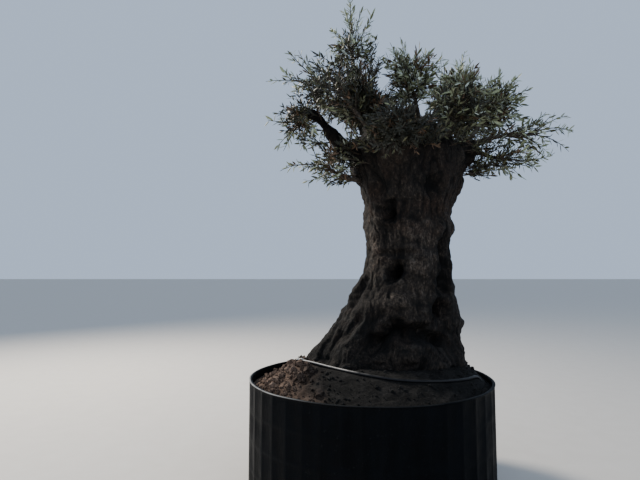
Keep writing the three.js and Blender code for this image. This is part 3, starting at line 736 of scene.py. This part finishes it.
def trunk_part():
    """The trunk's closed skin: its levels, fluted at the foot, with the knots pushed out or in."""
    levels = smooth_line(TRUNK_LEVELS, TRUNK_RINGS)[:, :, None]
    height, centre_x, centre_y, half_width, half_depth = (levels[:, k] for k in range(5))
    angle = np.broadcast_to(round_angles(TRUNK_SIDES), (TRUNK_RINGS, TRUNK_SIDES))
    depth = FLUTE_FOOT + (FLUTE_HEAD - FLUTE_FOOT) * smoothstep(*FLUTE_FADE, height)
    share = 1 - depth * (0.5 - 0.5 * np.cos(FLUTES * (angle + FLUTE_TURN * height)))
    place = np.linspace(0, len(TRUNK_LEVELS) - 1, TRUNK_RINGS)[:, None]
    push = knot_rise(angle, height, (half_width + half_depth) / 2) * smoothstep(0, 1, place)
    x = centre_x + np.cos(angle) * (half_width * share + push)
    y = centre_y + np.sin(angle) * (half_depth * share + push)
    wall = np.stack([x, y, np.broadcast_to(height, x.shape)], -1).reshape(-1, 3)
    foot = [(*TRUNK_LEVELS[0, 1:3], TRUNK_LEVELS[0, 0])]
    top = [(*TRUNK_LEVELS[-1, 1:3], TRUNK_TOP)]
    return np.concatenate([wall, foot, top]), capped_faces(TRUNK_RINGS, TRUNK_SIDES)


def bough_track(name, count):
    """Evenly many points on a bough's middle line, and its radius at each."""
    points = np.array(BOUGHS[name], float)
    widths = np.interp(np.linspace(0, 1, count), np.linspace(0, 1, len(points)), points[:, 3])
    return smooth_line(points[:, :3], count), widths


def bough_part(name):
    """One bough as a closed tube, a little narrower at its sawn end."""
    points, widths = bough_track(name, BOUGH_STEPS)
    end = np.linspace(1, 0, BOUGH_STEPS)
    widths = widths * np.where(end < SAWN_END, SAWN_WIDTH, 1)
    return tubes(points[None], widths[None], BOUGH_SIDES)


def trunk_section(height):
    """The trunk's centre x, centre y, half width and half depth at each height."""
    return [np.interp(height, TRUNK_LEVELS[:, 0], TRUNK_LEVELS[:, k]) for k in range(1, 5)]


def trunk_angle(points):
    """The bearing of each point round the trunk's middle at its height, and the trunk's radius there."""
    lowest, highest = TRUNK_LEVELS[0, 0], TRUNK_LEVELS[-4, 0]
    middle_x, middle_y, wide, deep = trunk_section(np.clip(points[:, 2], lowest, highest))
    return np.arctan2(points[:, 1] - middle_y, points[:, 0] - middle_x), (wide + deep) / 2


def bark_relief(points):
    """How far the bark stands out at each point, and shares of 1 for the painted shade of its creases and
    hollows, and for its swollen places.
    """
    angle, radius = trunk_angle(points)
    height = points[:, 2]
    swell = np.zeros(len(points))
    hollow = np.zeros(len(points))
    lens = np.zeros(len(points))
    for knot in KNOTS + FINE_KNOTS:
        across, up = knot_places(angle, height, radius, knot)
        near = np.exp(-(across**2 + up**2) / 1.6)
        if knot[4] > 0:
            swell += near
            lens -= 0.5 * near * across * knot[2]
        else:
            hollow += np.exp(-((across**2 + up**2) ** 1.4)) * min(1, -knot[4] / 60)
            lens += 0.35 * near * across * knot[2]
    swell = np.clip(swell, 0, 1)
    hollow = np.clip(hollow, 0, 1)
    for rib in RIBS:
        across, up = knot_places(angle, height, radius, rib)
        hollow *= 1 - 0.9 * np.exp(-(across**2 + up**2))
    wander = WIDE_WANDER.rise * field(points, WIDE_WANDER.size, 3.1)
    wander = wander + FINE_WANDER.rise * field(points, FINE_WANDER.size, 7.7)
    turned = angle + FLUTE_TURN * height + (lens + wander) / radius
    unrolled = np.stack([300 * np.cos(turned), 300 * np.sin(turned), height + wander], 1)
    fibres = 1 - 2 * np.abs(field(unrolled, FIBRES.size, 1.3))
    strands = field(unrolled, STRANDS.size, 5.9)
    cracks = 1 - smoothstep(0.02, 0.22, np.abs(field(unrolled, CRACKS.size, 9.2)))
    lumps = pebbles(points, LUMPS.size, 2.4)
    small = pebbles(points, SMALL_LUMPS.size, 6.1)
    plates = pebbles(unrolled / np.array([1, 1, 1.7]), PLATES.size, 3.7)
    calm = 1 - 0.55 * swell
    rise = (
        SWELLS.rise * field(points, SWELLS.size, 11.5)
        + LUMPS.rise * (lumps - 0.55)
        + SMALL_LUMPS.rise * (small - 0.5) * (0.6 + 0.4 * swell)
        + PLATES.rise * (plates - 0.5)
        + calm * (FIBRES.rise * fibres + STRANDS.rise * strands - CRACKS.rise * cracks)
    )
    valley = 1 - smoothstep(0.18, 0.5, lumps)
    seams = 1 - smoothstep(0.3, 0.62, plates)
    # Painted shade: how far the cracks, the valleys between lumps, the seams between plates and the hollows
    # are darkened.
    crease = np.clip(0.6 * cracks * calm + 0.45 * valley + 0.35 * seams + 1.1 * hollow, 0, 1)
    return rise, {"crease": crease, "swell": swell}


def bark_piece():
    """The trunk and boughs as one skin, remeshed evenly and then given the bark's relief."""
    parts = [trunk_part()] + [bough_part(name) for name in BOUGHS]
    bark = add_piece("bark", *join(parts), [bark_finish()])
    remesh = bark.modifiers.new("even", "REMESH")
    remesh.mode = "VOXEL"
    remesh.voxel_size = BARK_VOXEL * MM
    smooth = bark.modifiers.new("soften", "SMOOTH")
    smooth.iterations = 5
    smooth.factor = 0.6
    evaluated = bark.evaluated_get(bpy.context.evaluated_depsgraph_get())
    mesh = bpy.data.meshes.new_from_object(evaluated)
    bark.modifiers.clear()
    bark.data = mesh
    points = np.empty(3 * len(mesh.vertices))
    normals = np.empty(3 * len(mesh.vertices))
    mesh.vertices.foreach_get("co", points)
    mesh.vertices.foreach_get("normal", normals)
    points = points.reshape(-1, 3) / MM
    rise, shares = bark_relief(points)
    rise = rise * smoothstep(*BARK_FOOT, points[:, 2])
    points += normals.reshape(-1, 3) * rise[:, None]
    mesh.vertices.foreach_set("co", points.ravel() * MM)
    add_attributes(mesh, shares)
    mesh.polygons.foreach_set("use_smooth", np.full(len(mesh.polygons), True))
    mesh.update()
    return dress(bark, "bark", "trunk", *BOUGHS)


# Crown.


def curves(start, bend, end, count):
    """Points on the curves that leave their starts towards bend and arrive at end."""
    t = np.linspace(0, 1, count)[None, :, None]
    return (1 - t) ** 2 * start[:, None] + 2 * t * (1 - t) * bend[:, None] + t**2 * end[:, None]


def space_of(mass):
    return np.array(mass.heart, float), np.array(mass.radii, float)


def inside_space(mass, points):
    """A mass's space is round its heart, cut beyond the plane between it and each neighbour."""
    heart, radii = space_of(mass)
    offset = points - heart
    inside = (np.abs(offset / radii) ** mass.corner).sum(-1) < SHOOT_REACHES[1] ** mass.corner
    for other in MASSES.values():
        if other is mass:
            continue
        other_heart, other_radii = space_of(other)
        way = other_heart - heart
        distance = np.linalg.norm(way)
        share = radii.sum() / (radii.sum() + other_radii.sum())
        inside &= offset @ (way / distance) < distance * share + NEIGHBOUR_SLACK
    return inside


def inside_crown(points):
    """True where a point is in the space of any mass."""
    inside = np.zeros(points.shape[:-1], bool)
    for mass in MASSES.values():
        heart, radii = space_of(mass)
        inside |= (((points - heart) / radii) ** 2).sum(-1) < 1
    return inside


def clear_of_wood(points):
    """True where a point is clear of the trunk and of every bough."""
    height = points[..., 2]
    middle_x, middle_y, wide, deep = trunk_section(height)
    across = (points[..., 0] - middle_x) / (wide + TRUNK_MARGIN)
    back = (points[..., 1] - middle_y) / (deep + TRUNK_MARGIN)
    clear = (height > TRUNK_TOP + LIMB_MARGIN) | (across**2 + back**2 > 1)
    for name in BOUGHS:
        for point, width in zip(*bough_track(name, BOUGH_TEST_STEPS)):
            clear &= np.linalg.norm(points - point, axis=-1) > width + LIMB_MARGIN
    return clear


def clear_of_openings(points, share):
    """True where a point is out of this share of every opening."""
    clear = np.ones(points.shape[:-1], bool)
    for number, (x, z, wide, tall) in enumerate(SKY_OPENINGS):
        sight = unit(np.array([x, 0.0, z]) - EYE)
        level = unit(np.cross(sight, UP))
        offset = points - EYE
        across = offset @ level / wide
        up = offset @ np.cross(level, sight) / tall
        turn = np.arctan2(up, across)
        ragged = 1 + 0.16 * np.sin(3 * turn + number) + 0.12 * np.sin(7 * turn + 2 * number)
        clear &= np.hypot(across, up) > share * ragged
    return clear


def fits(mass, points, share=OPENING_SHARE):
    """True where a point is in its mass's space, clear of wood and out of the openings."""
    inside = inside_crown(points) if mass is SPROUTS else inside_space(mass, points)
    return inside & clear_of_wood(points) & clear_of_openings(points, share)


def cut_to_fit(mass, lines, random):
    """How much of each line, from its start, stays in its mass's space and clear. Some cross an opening."""
    crosses = random.uniform(0, 1, (len(lines), 1)) < CROSSING_CHANCE
    good = np.cumprod(fits(mass, lines[:, 1:], np.where(crosses, 0, OPENING_SHARE)), axis=1)
    return good.sum(1) / (lines.shape[1] - 1)


def resample(lines, shares, count):
    """The first part of each line, as evenly many points."""
    return np.stack([read_rows(lines, shares * t) for t in np.linspace(0, 1, count)], 1)


def lengths_of(lines):
    return np.linalg.norm(np.diff(lines, axis=1), axis=-1).sum(1)


def grow_shoots(mass, random):
    """The stem, and shoots that leave it in a spiral: the first straight on, the last low and outwards."""
    start = np.array(mass.start, float)
    heart, radii = space_of(mass)
    count = mass.shoots
    bend = (start + heart) / 2 + UP * mass.arch
    stem = curves(start[None], bend[None], heart[None], STEM_POINTS)
    along, across, other = (v[:, 0] for v in frames_along(np.stack([start, heart])[None]))
    k = np.arange(count)
    level = 1 - SHOOT_SPREAD * k / (count - 1)
    round_share = np.sqrt(1 - level**2)
    turn = k * GOLDEN_ANGLE + random.uniform(-SHOOT_TURN, SHOOT_TURN, count)
    way = (
        along * level[:, None]
        + across * (round_share * np.cos(turn))[:, None]
        + other * (round_share * np.sin(turn))[:, None]
    )
    short, far = SHOOT_REACHES
    power = REACH_POWERS[0] + REACH_POWERS[1] * level
    reach = short + (far - short) * random.uniform(0, 1, count) ** power
    reach = reach / (np.abs(way / radii) ** mass.corner).sum(1) ** (1 / mass.corner)
    target = heart + way * reach[:, None]
    shares = SHOOT_STARTS[0] + (SHOOT_STARTS[1] - SHOOT_STARTS[0]) * (1 + level) / 2
    starts = read_rows(np.repeat(stem, count, 0), shares)
    long = np.linalg.norm(target - starts, axis=1)[:, None]
    bend = (starts + target) / 2 + UP * (mass.arch * random.uniform(*ARCH_SHARES, count))[:, None]
    bend += (
        along * long * SHOOT_FOLLOW * random.uniform(0.2, 1, (count, 1))
        + random.normal(0, SHOOT_STRAY, bend.shape)
    )
    lines = curves(starts, bend, target, SHOOT_POINTS)
    share = cut_to_fit(mass, lines, random)
    keep = share >= SHORTEST_SHARE
    return stem, resample(lines[keep], share[keep], SHOOT_POINTS)


def sprout_roots(limb, random):
    """Points just inside a limb's skin, and the way out from each."""
    if limb == "head":
        turn = random.uniform(0, 2 * math.pi, SPROUTS_ON_HEAD)
        turn -= HEAD_SIDE_GATHER * np.sin(2 * turn)
        drop = HEAD_SIDE_DROP * np.cos(turn) ** 4 * random.uniform(0, 1, SPROUTS_ON_HEAD)
        level = random.uniform(*HEAD_LEVELS, SPROUTS_ON_HEAD) - drop
        middle_x, middle_y, wide, deep = trunk_section(level)
        out = np.column_stack([np.cos(turn), np.sin(turn), np.zeros(len(turn))])
        skin = np.column_stack([middle_x + out[:, 0] * wide, middle_y + out[:, 1] * deep, level])
        return skin - HEAD_ROOT_DEPTH * out, out
    track, widths = (v[None] for v in bough_track(limb, BOUGH_ROOT_STEPS))
    count = int(lengths_of(track)[0] / SPROUT_SPACING)
    place = random.uniform(*SPROUT_SPAN, count)
    turn = random.uniform(0, 2 * math.pi, count)
    rows = np.zeros(count, int)
    along, across, other = (read_rows(v[rows], place) for v in frames_along(track))
    out = across * np.cos(turn)[:, None] + other * np.sin(turn)[:, None]
    depth = read_rows(widths[rows], place) - BOUGH_ROOT_DEPTH
    return read_rows(track[rows], place) + out * depth[:, None], unit(out + 0.6 * along)


def grow_sprouts(limbs, random):
    """Shoots that leave the limbs' skin and turn up."""
    root, out = (np.concatenate(v) for v in zip(*(sprout_roots(limb, random) for limb in limbs)))
    length = random.uniform(*SPROUT_LENGTHS, len(root))[:, None]
    rise = UP * random.uniform(*SPROUT_RISE, len(root))[:, None]
    bend = root + out * length * 0.5
    end = bend + unit(out + rise + random.normal(0, 0.25, out.shape)) * length * 0.6
    lines = curves(root, bend, end, SHOOT_POINTS)
    good = np.cumprod(fits(SPROUTS, lines[:, UNTESTED_POINTS:]), axis=1).sum(1)
    share = (UNTESTED_POINTS - 1 + good) / (SHOOT_POINTS - 1)
    keep = good >= UNTESTED_POINTS
    return resample(lines[keep], np.minimum(share[keep], 1), SHOOT_POINTS)


def pairs_along(lines, span, spacing, chance, random):
    """Places in pairs along each line: its number, the share along, the point, the way on and the way out."""
    first, last = span
    pairs = np.maximum(((last - first) * lengths_of(lines) / spacing).astype(int), 1)
    line = np.repeat(np.arange(len(lines)), pairs)
    number = np.arange(len(line)) - np.repeat(np.cumsum(pairs) - pairs, pairs)
    place = first + (last - first) * (number + random.uniform(0.3, 0.7, len(line))) / pairs[line]
    line, number, place = (np.repeat(v, 2) for v in (line, number, place))
    turn = number * PAIR_TURN + np.tile([0, math.pi], len(line) // 2)
    turn = turn + random.normal(0, 0.3, len(line))
    keep = random.uniform(0, 1, len(line)) < chance
    line, place, turn = line[keep], place[keep], turn[keep]
    along, across, other = (read_rows(v[line], place) for v in frames_along(lines))
    side = across * np.cos(turn)[:, None] + other * np.sin(turn)[:, None]
    return line, place, read_rows(lines[line], place), along, side


def grow_twigs(mass, shoots, random):
    """Side twigs in opposite pairs on the inner part of each shoot, longest near its root."""
    shoot, place, start, along, side = pairs_along(shoots, TWIG_SPAN, TWIG_SPACING, TWIG_CHANCE, random)
    lean = random.uniform(*TWIG_LEAN, len(shoot))[:, None]
    way = unit(along * np.cos(lean) + side * np.sin(lean))
    length = random.uniform(*TWIG_LENGTHS, len(shoot)) * mass.twigs * (1.2 - 1.1 * place)
    lift = UP * (length * random.uniform(*TWIG_LIFT, len(shoot)))[:, None]
    if mass.arch < HANGING_ARCH:
        lift = -lift
    end = start + way * length[:, None] + lift
    bend = start + way * (0.55 * length)[:, None]
    lines = curves(start, bend, end, TWIG_POINTS)
    share = cut_to_fit(mass, lines, random)
    keep = share * lengths_of(lines) > SHORTEST_TWIG
    return resample(lines[keep], share[keep], TWIG_POINTS)


def grow_leaves(mass, twigs, leafing, random):
    """Leaves in opposite pairs along each twig, each pair turned from the one before, and one at its end."""
    span = (leafing.first, 1)
    twig, place, root, along, side = pairs_along(twigs, span, leafing.spacing, LEAF_CHANCE, random)
    lean = random.uniform(*LEAF_LEAN, len(twig))[:, None]
    axis = unit(along * np.cos(lean) + side * np.sin(lean) + random.normal(0, 0.12, side.shape))
    tip_along, tip_across, _ = (v[:, -1] for v in frames_along(twigs))
    root = np.concatenate([root, twigs[:, -1]])
    axis = np.concatenate([axis, tip_along])
    face = np.concatenate([along - side + 0.5 * UP, tip_across + 0.3 * UP])
    face += random.normal(0, 0.3, face.shape)
    place = np.concatenate([place, np.ones(len(twigs))])
    twig = np.concatenate([twig, np.arange(len(twigs))])
    size = (leafing.size + leafing.change * place) * (1 + INNER_LEAF_SHARE * min(mass.shade, 0))
    length = random.uniform(*LEAF_LENGTHS, len(root)) * size
    share = random.uniform(OPENING_OVERLAP, 1, len(root))
    tip, middle = root + axis * length[:, None], root + axis * (0.5 * length)[:, None]
    keep = fits(mass, tip, share) & clear_of_wood(middle)
    return [v[keep] for v in (root, axis, face, length, twig)]


def leaf_parts(root, axis, face, length, random):
    """Narrow folded blades: eight corners and eight triangles each, arched back towards the tip."""
    face = unit(face - (face * axis).sum(1, keepdims=True) * axis)
    across = np.cross(face, axis)
    width = length * LEAF_WIDTH_SHARE * random.uniform(0.8, 1.15, len(root)) / 2
    droop = length * random.uniform(0.02, 0.16, len(root))
    fold = LEAF_FOLD * width
    points = np.stack([
        root
        + axis * (length * ahead)[:, None]
        + across * (width * out)[:, None]
        + face * (fold * raised - droop * ahead**2)[:, None]
        for ahead, out, raised in BLADE
    ], 1)
    return points.reshape(-1, 3), repeated(BLADE_FACES, len(root), len(BLADE))


def deal_colours(mass, root, twig, random):
    """Each spray takes a leaf colour, darker towards the mass's heart as painted shade and paler further out
    as painted light. Some leaves show their backs, and a few are dry.
    """
    out = np.full(len(root), 0.5)
    if mass is not SPROUTS:
        heart, radii = space_of(mass)
        out = np.linalg.norm((root - heart) / radii, axis=1)
    sprays = twig.max() + 1
    spray = random.uniform(0, 1, sprays)[twig]
    own = random.uniform(-0.2, 0.2, len(root))
    # Painted shade and light: the tone is darker towards the mass's heart, paler further out, and moved by
    # the mass's shade.
    tone = 0.45 * spray + own + 0.7 * out - 0.15 + mass.shade
    dry = random.uniform(0, 1, sprays)[twig] < DRY_SPRAYS * np.clip(1.4 - out, 0, 1)
    # Silver backs are the leaves' own colour, fewer in the core and in the dark masses.
    backs = random.uniform(0, 1, len(root)) < SILVER_BACKS * np.clip(out + 2 * mass.shade, 0, 1)
    return np.where(dry, DRY_LEAF, np.where(backs, SILVER_BACK, np.digitize(tone, TONE_STEPS)))


def leafy_parts(mass, shoots, stems, random):
    """The twigs and leaves that grow on shoots, and the colour of each leaf."""
    twigs = grow_twigs(mass, shoots, random)
    lots = [
        grow_leaves(mass, twigs, ON_TWIGS, random),
        grow_leaves(mass, shoots, ON_SHOOTS, random),
    ]
    lots[1][4] = lots[1][4] + len(twigs)
    root, axis, face, length, twig = (np.concatenate(v) for v in zip(*lots))
    shoot_radii = np.repeat(np.linspace(*SHOOT_RADII, SHOOT_POINTS)[None], len(shoots), 0)
    twig_radii = np.repeat(np.linspace(*TWIG_RADII, TWIG_POINTS)[None], len(twigs), 0)
    parts = [tubes(shoots, shoot_radii, SHOOT_SIDES), tubes(twigs, twig_radii, TWIG_SIDES)]
    wood = join(parts + stems)
    colours = deal_colours(mass, root, twig, random)
    return wood, leaf_parts(root, axis, face, length, random), colours


def mass_parts(mass):
    """One mass of foliage, from its stem to its leaves."""
    random = np.random.default_rng(mass.seed)
    stem, shoots = grow_shoots(mass, random)
    stem_radii = np.linspace(*STEM_RADII, stem.shape[1])[None]
    return leafy_parts(mass, shoots, [tubes(stem, stem_radii, STEM_SIDES)], random)


def sprout_parts(limbs):
    """The sprouts of some limbs, with their twigs and leaves."""
    random = np.random.default_rng(SPROUTS.seed)
    return leafy_parts(SPROUTS, grow_sprouts(limbs, random), [], random)


def crown_pieces():
    """The twigs and the leaves of each part of the crown, and of its limbs' sprouts, as a piece each."""
    # One leaf in four tones from dark to pale, dealt partly at random and partly as painted shade and light,
    # then the silver backs and the dry leaves.
    leaf_colours = [
        leaf_finish("leaf_dark", (0.032, 0.032, 0.019), (0.020, 0.020, 0.011), 0.46),
        leaf_finish("leaf_deep_olive", (0.110, 0.106, 0.049), (0.076, 0.073, 0.032), 0.45),
        leaf_finish("leaf_grey_green", (0.212, 0.228, 0.122), (0.154, 0.166, 0.086), 0.50),
        leaf_finish("leaf_pale_olive", (0.355, 0.392, 0.235), (0.276, 0.305, 0.178), 0.50),
        leaf_finish("leaf_silver", (0.520, 0.570, 0.480), (0.415, 0.458, 0.385), 0.70),
        leaf_finish("leaf_dry", (0.150, 0.088, 0.046), (0.085, 0.050, 0.028), 0.75),
    ]
    twig_colour = twig_finish()
    for part, (names, limbs) in CROWN_PARTS.items():
        grown = [mass_parts(MASSES[name]) for name in names] + [sprout_parts(limbs)]
        wood, leaves, colours = zip(*grown)
        slots = np.repeat(np.concatenate(colours), len(BLADE_FACES))
        nodes = [name + "_foliage" for name in names]
        dress(add_piece(part + "_twigs", *join(wood), [twig_colour]), "bark", *nodes)
        dress(add_piece(part + "_leaves", *join(leaves), leaf_colours, slots, False), "foliage", *nodes)


# Pot, soil and pipe.


def heap_share(x, y, spread):
    """1 at the middle of the heap and less away from it, over so many times its spread."""
    return np.exp(-(((x - HEAP_CENTRE[0]) ** 2 + (y - HEAP_CENTRE[1]) ** 2) / (spread * HEAP_SPREAD) ** 2))


def soil_height(x, y):
    """The soil's height at each place, before its roughness."""
    away = np.hypot((x - MOUND_CENTRE[0]) / MOUND_REACH[0], (y - MOUND_CENTRE[1]) / MOUND_REACH[1])
    by_wall = smoothstep(*WALL_FALL, np.hypot(x, y) / SOIL_RADIUS)
    rise = MOUND_RISE * (1 - smoothstep(*MOUND_SLOPE, away)) + HEAP_RISE * heap_share(x, y, 1)
    return SOIL_EDGE + rise * (1 - WALL_FALL_SHARE * by_wall)


def pipe_line(count):
    """The pipe's middle line on the soil, with its right end dipped into it."""
    plan = np.array(PIPE_PLAN, float)
    height = soil_height(plan[:, 0], plan[:, 1]) + PIPE_RADIUS - PIPE_SUNK
    height[-1] -= 3 * PIPE_RADIUS
    return smooth_line(np.column_stack([plan, height]), count)


def from_pipe(x, y):
    """How far each place on the soil is from the pipe's line."""
    pipe = pipe_line(PIPE_TEST_STEPS)
    return np.min(np.hypot(x[:, None] - pipe[None, :, 0], y[:, None] - pipe[None, :, 1]), axis=1)


def round_noise(angle, size, level):
    """Smooth noise round a circle at one level."""
    return np.array([noise.noise((size * math.cos(a), size * math.sin(a), level)) for a in angle])


def pot_piece():
    """The sheet wall, its pillow cells between fine ribs, a thin wavy rim, and the floor."""
    columns = CELL_STEPS * POT_COLUMNS
    angle = round_angles(columns)
    heights = np.linspace(0, POT_HEIGHT - 6, CELL_STEPS * POT_ROWS + 1)
    inner = POT_RADIUS - POT_WALL
    # The wall's section: radius, height, and 1 where it is pressed into cells.
    section = [(0, 0, 0), (POT_RADIUS - 12, 0, 0)]
    section += [(POT_RADIUS - 3 + (3 if z > 4 else 0), max(z, 3), 1) for z in heights]
    section += [(POT_RADIUS + 2, POT_HEIGHT - 5, 0), (POT_RADIUS + 3, POT_HEIGHT - 2, 0)]
    section += [(POT_RADIUS, POT_HEIGHT, 0), (POT_RADIUS - 8, POT_HEIGHT + 1, 0)]
    section += [(inner - 1, POT_HEIGHT - 1, 0), (inner, POT_HEIGHT - 8, 0)]
    section += [(inner, POT_HEIGHT - z, 0) for z in (30, 60, 120)]
    section += [(inner, POT_FLOOR, 0), (0, POT_FLOOR, 0)]
    radius, height, outside = (v[:, None] for v in np.array(section, float).T)
    across = np.abs((angle[None] * POT_COLUMNS / (2 * math.pi) % 1) - 0.5) * 2
    up = np.abs((height * POT_ROWS / POT_HEIGHT % 1) - 0.5) * 2
    pillow = (1 - across**6) * (1 - up**8)
    sag = 1 + 0.5 * np.array([round_noise(angle, 3, level / 90) for level in height[:, 0]])
    relief = outside * (-0.7 * CELL_DEPTH * pillow * sag * (0.75 + 0.25 * np.cos(across * math.pi)))
    wave = round_noise(angle, 2.2, 4.0)[None]
    near_rim = smoothstep(POT_HEIGHT - 120, POT_HEIGHT, height) * (radius > inner - 4)
    reach = radius + relief + 3.0 * wave * near_rim
    rim_lift = 4.0 * wave * smoothstep(POT_HEIGHT - 60, POT_HEIGHT, height)
    points = np.stack([reach * np.cos(angle), reach * np.sin(angle), height + rim_lift], -1).reshape(-1, 3)
    # The ribs and the rim's outer lip take the pot's pale wear and painted highlight.
    rib = np.maximum(smoothstep(0.84, 0.98, across), smoothstep(0.86, 0.99, up)) * outside * RIB_WEAR_AND_HIGHLIGHT
    rim = smoothstep(POT_HEIGHT - 4, POT_HEIGHT - 1, height) * (radius > POT_RADIUS - 2)
    edge = {"edge": np.maximum(rib, rim).ravel()}
    faces = grid_faces(len(section), columns)
    return dress(add_piece("pot_wall", points, faces, [pot_finish()], attributes=edge), "pot_plastic", "pot")


def soil_piece():
    """The mound's crumbly surface, its side along the wall and its flat underside."""
    shares = np.linspace(0, 1, SOIL_RINGS)[:, None] ** 0.8
    angle = round_angles(SOIL_SIDES)[None]
    x = (SOIL_RADIUS * shares * np.cos(angle)).ravel()
    y = (SOIL_RADIUS * shares * np.sin(angle)).ravel()
    flat = np.column_stack([x, y, np.zeros(len(x))])
    heap = heap_share(x, y, 1.5)
    rough = (
        (9 + 13 * heap) * (pebbles(flat, 62, 1.7) - 0.55)
        + (6 + 5 * heap) * (pebbles(flat, 27, 4.2) - 0.5)
        + 7 * field(flat, 90, 2.9)
        + 3 * field(flat, 14, 8.1)
    )
    calm = smoothstep(8, 55, from_pipe(x, y))
    by_wall = smoothstep(0.97, 1.0, np.hypot(x, y) / SOIL_RADIUS)
    height = soil_height(x, y) + rough * calm * (1 - 0.7 * by_wall)
    top = np.column_stack([x, y, height]).reshape(SOIL_RINGS, SOIL_SIDES, 3)
    bottom = top[-1:].copy()
    bottom[..., 2] = POT_FLOOR + 0.4
    middle = bottom * UP
    points = np.concatenate([top, bottom, middle]).reshape(-1, 3)
    faces = grid_faces(SOIL_RINGS + 2, SOIL_SIDES)[:, ::-1]
    return dress(add_piece("earth_mound", points, faces, [earth_finish("dry_earth", 0)]), "soil", "soil")


def clod_shape():
    """The corners and triangles of a round stone with 80 faces."""
    ball = bpy.data.meshes.new("ball")
    shape = bmesh.new()
    bmesh.ops.create_icosphere(shape, subdivisions=2, radius=1)
    shape.to_mesh(ball)
    shape.free()
    corners = np.array([v.co[:] for v in ball.vertices])
    faces = np.array([p.vertices[:] for p in ball.polygons])
    bpy.data.meshes.remove(ball)
    return corners, faces


def clods_piece():
    """Loose clods and stones on the soil, thickest and largest on the heap."""
    random = np.random.default_rng(CLOD_SEED)
    corners, faces = clod_shape()
    angle = random.uniform(0, 2 * math.pi, CLODS)
    radius = (SOIL_RADIUS - CLOD_FROM_WALL) * np.sqrt(random.uniform(0, 1, CLODS))
    x, y = radius * np.cos(angle), radius * np.sin(angle)
    heap = heap_share(x, y, 1.7)
    _, foot_x, foot_y, foot_width, foot_depth = TRUNK_LEVELS[0]
    outside = np.hypot((x - foot_x) / foot_width, (y - foot_y) / foot_depth) > 0.9
    thick = random.uniform(0, 1, CLODS) < 0.2 + 0.8 * heap
    keep = thick & (from_pipe(x, y) > CLOD_FROM_PIPE) & outside
    x, y, heap = x[keep], y[keep], heap[keep]
    least, most = CLOD_SIZES
    size = random.lognormal(0, 0.55, len(x)) * (least + (most - least) * heap)
    size = np.minimum(size, LARGEST_CLOD)
    wobble = np.array([field(corners, 0.77, 7.3 * kind) for kind in range(CLOD_SHAPES)])
    kind = random.integers(0, CLOD_SHAPES, len(x))
    turned = np.linalg.qr(random.normal(0, 1, (len(x), 3, 3)))[0]
    stretch = random.uniform(0.65, 1.15, (len(x), 1, 3))
    stones = corners[None] * (1 + 0.8 * wobble[kind])[..., None] * stretch
    stones = np.einsum("nij,nkj->nki", turned, stones) * size[:, None, None]
    centre = np.column_stack([x, y, soil_height(x, y) + 0.25 * size])
    points = (stones + centre[:, None]).reshape(-1, 3)
    faces = repeated(faces, len(x), len(corners))
    return dress(add_piece("clods", points, faces, [earth_finish("dry_clods", 0.006)], smooth=False), "soil")


def pipe_piece():
    """The drip pipe on the soil, with its plug."""
    line = pipe_line(PIPE_STEPS)
    heading = unit(line[1] - line[0]) * PLUG_LENGTH / 2
    places, widths = np.array(PLUG_OUTLINE).T
    points, faces = join([
        tubes(line[None], np.full((1, PIPE_STEPS), float(PIPE_RADIUS)), PIPE_SIDES),
        tubes((line[0] + heading * places[:, None])[None], (widths * PLUG_RADIUS)[None], PLUG_SIDES),
    ])
    # How high each point sits on the pipe, which places the painted highlight on its upper side.
    middle = np.interp(points[:, 0], line[:, 0], line[:, 2])
    upper = {"upper": np.clip((points[:, 2] - middle) / PIPE_RADIUS, 0, 1)}
    piece = add_piece("drip_line", points, faces, [pipe_finish()], attributes=upper)
    return dress(piece, "pipe_plastic", "drip_pipe")


# Stage.


def camera():
    lens = bpy.data.cameras.new("camera")
    lens.lens = LENS
    lens.sensor_width = SENSOR
    lens.clip_end = FURTHEST
    eye = bpy.data.objects.new("camera", lens)
    eye.location = EYE * MM
    eye.rotation_euler = (math.radians(90 + TILT), 0, 0)
    bpy.context.scene.collection.objects.link(eye)
    bpy.context.scene.camera = eye


def soft_light(name, place, aim, size, power, colour):
    lamp = bpy.data.lights.new(name, "AREA")
    lamp.shape = "DISK"
    lamp.size = size
    lamp.energy = power
    lamp.color = colour
    holder = bpy.data.objects.new(name, lamp)
    holder.location = place
    holder.rotation_euler = (Vector(aim) - Vector(place)).to_track_quat("-Z", "Y").to_euler()
    bpy.context.scene.collection.objects.link(holder)


def studio():
    """A wide pale floor, a plain sky and the soft lights."""
    half = FLOOR_REACH / MM
    corners = [(-half, -half, 0), (half, -half, 0), (half, half, 0), (-half, half, 0)]
    add_piece("floor", corners, [(0, 1, 2, 3)], [floor_finish()], smooth=False)
    world = bpy.data.worlds.new("studio")
    world.use_nodes = True
    sky = world.node_tree.nodes["Background"]
    sky.inputs["Color"].default_value = SKY_COLOUR
    sky.inputs["Strength"].default_value = SKY_STRENGTH
    bpy.context.scene.world = world
    for name, light in LIGHTS.items():
        soft_light(name, *light)


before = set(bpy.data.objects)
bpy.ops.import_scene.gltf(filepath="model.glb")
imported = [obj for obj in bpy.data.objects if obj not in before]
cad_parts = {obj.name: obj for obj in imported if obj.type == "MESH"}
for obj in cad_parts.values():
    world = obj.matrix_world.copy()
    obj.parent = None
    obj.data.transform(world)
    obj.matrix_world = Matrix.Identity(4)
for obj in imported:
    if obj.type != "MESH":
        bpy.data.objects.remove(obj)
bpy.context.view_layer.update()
camera()
bark_piece()
crown_pieces()
pot_piece()
soil_piece()
clods_piece()
pipe_piece()
studio()
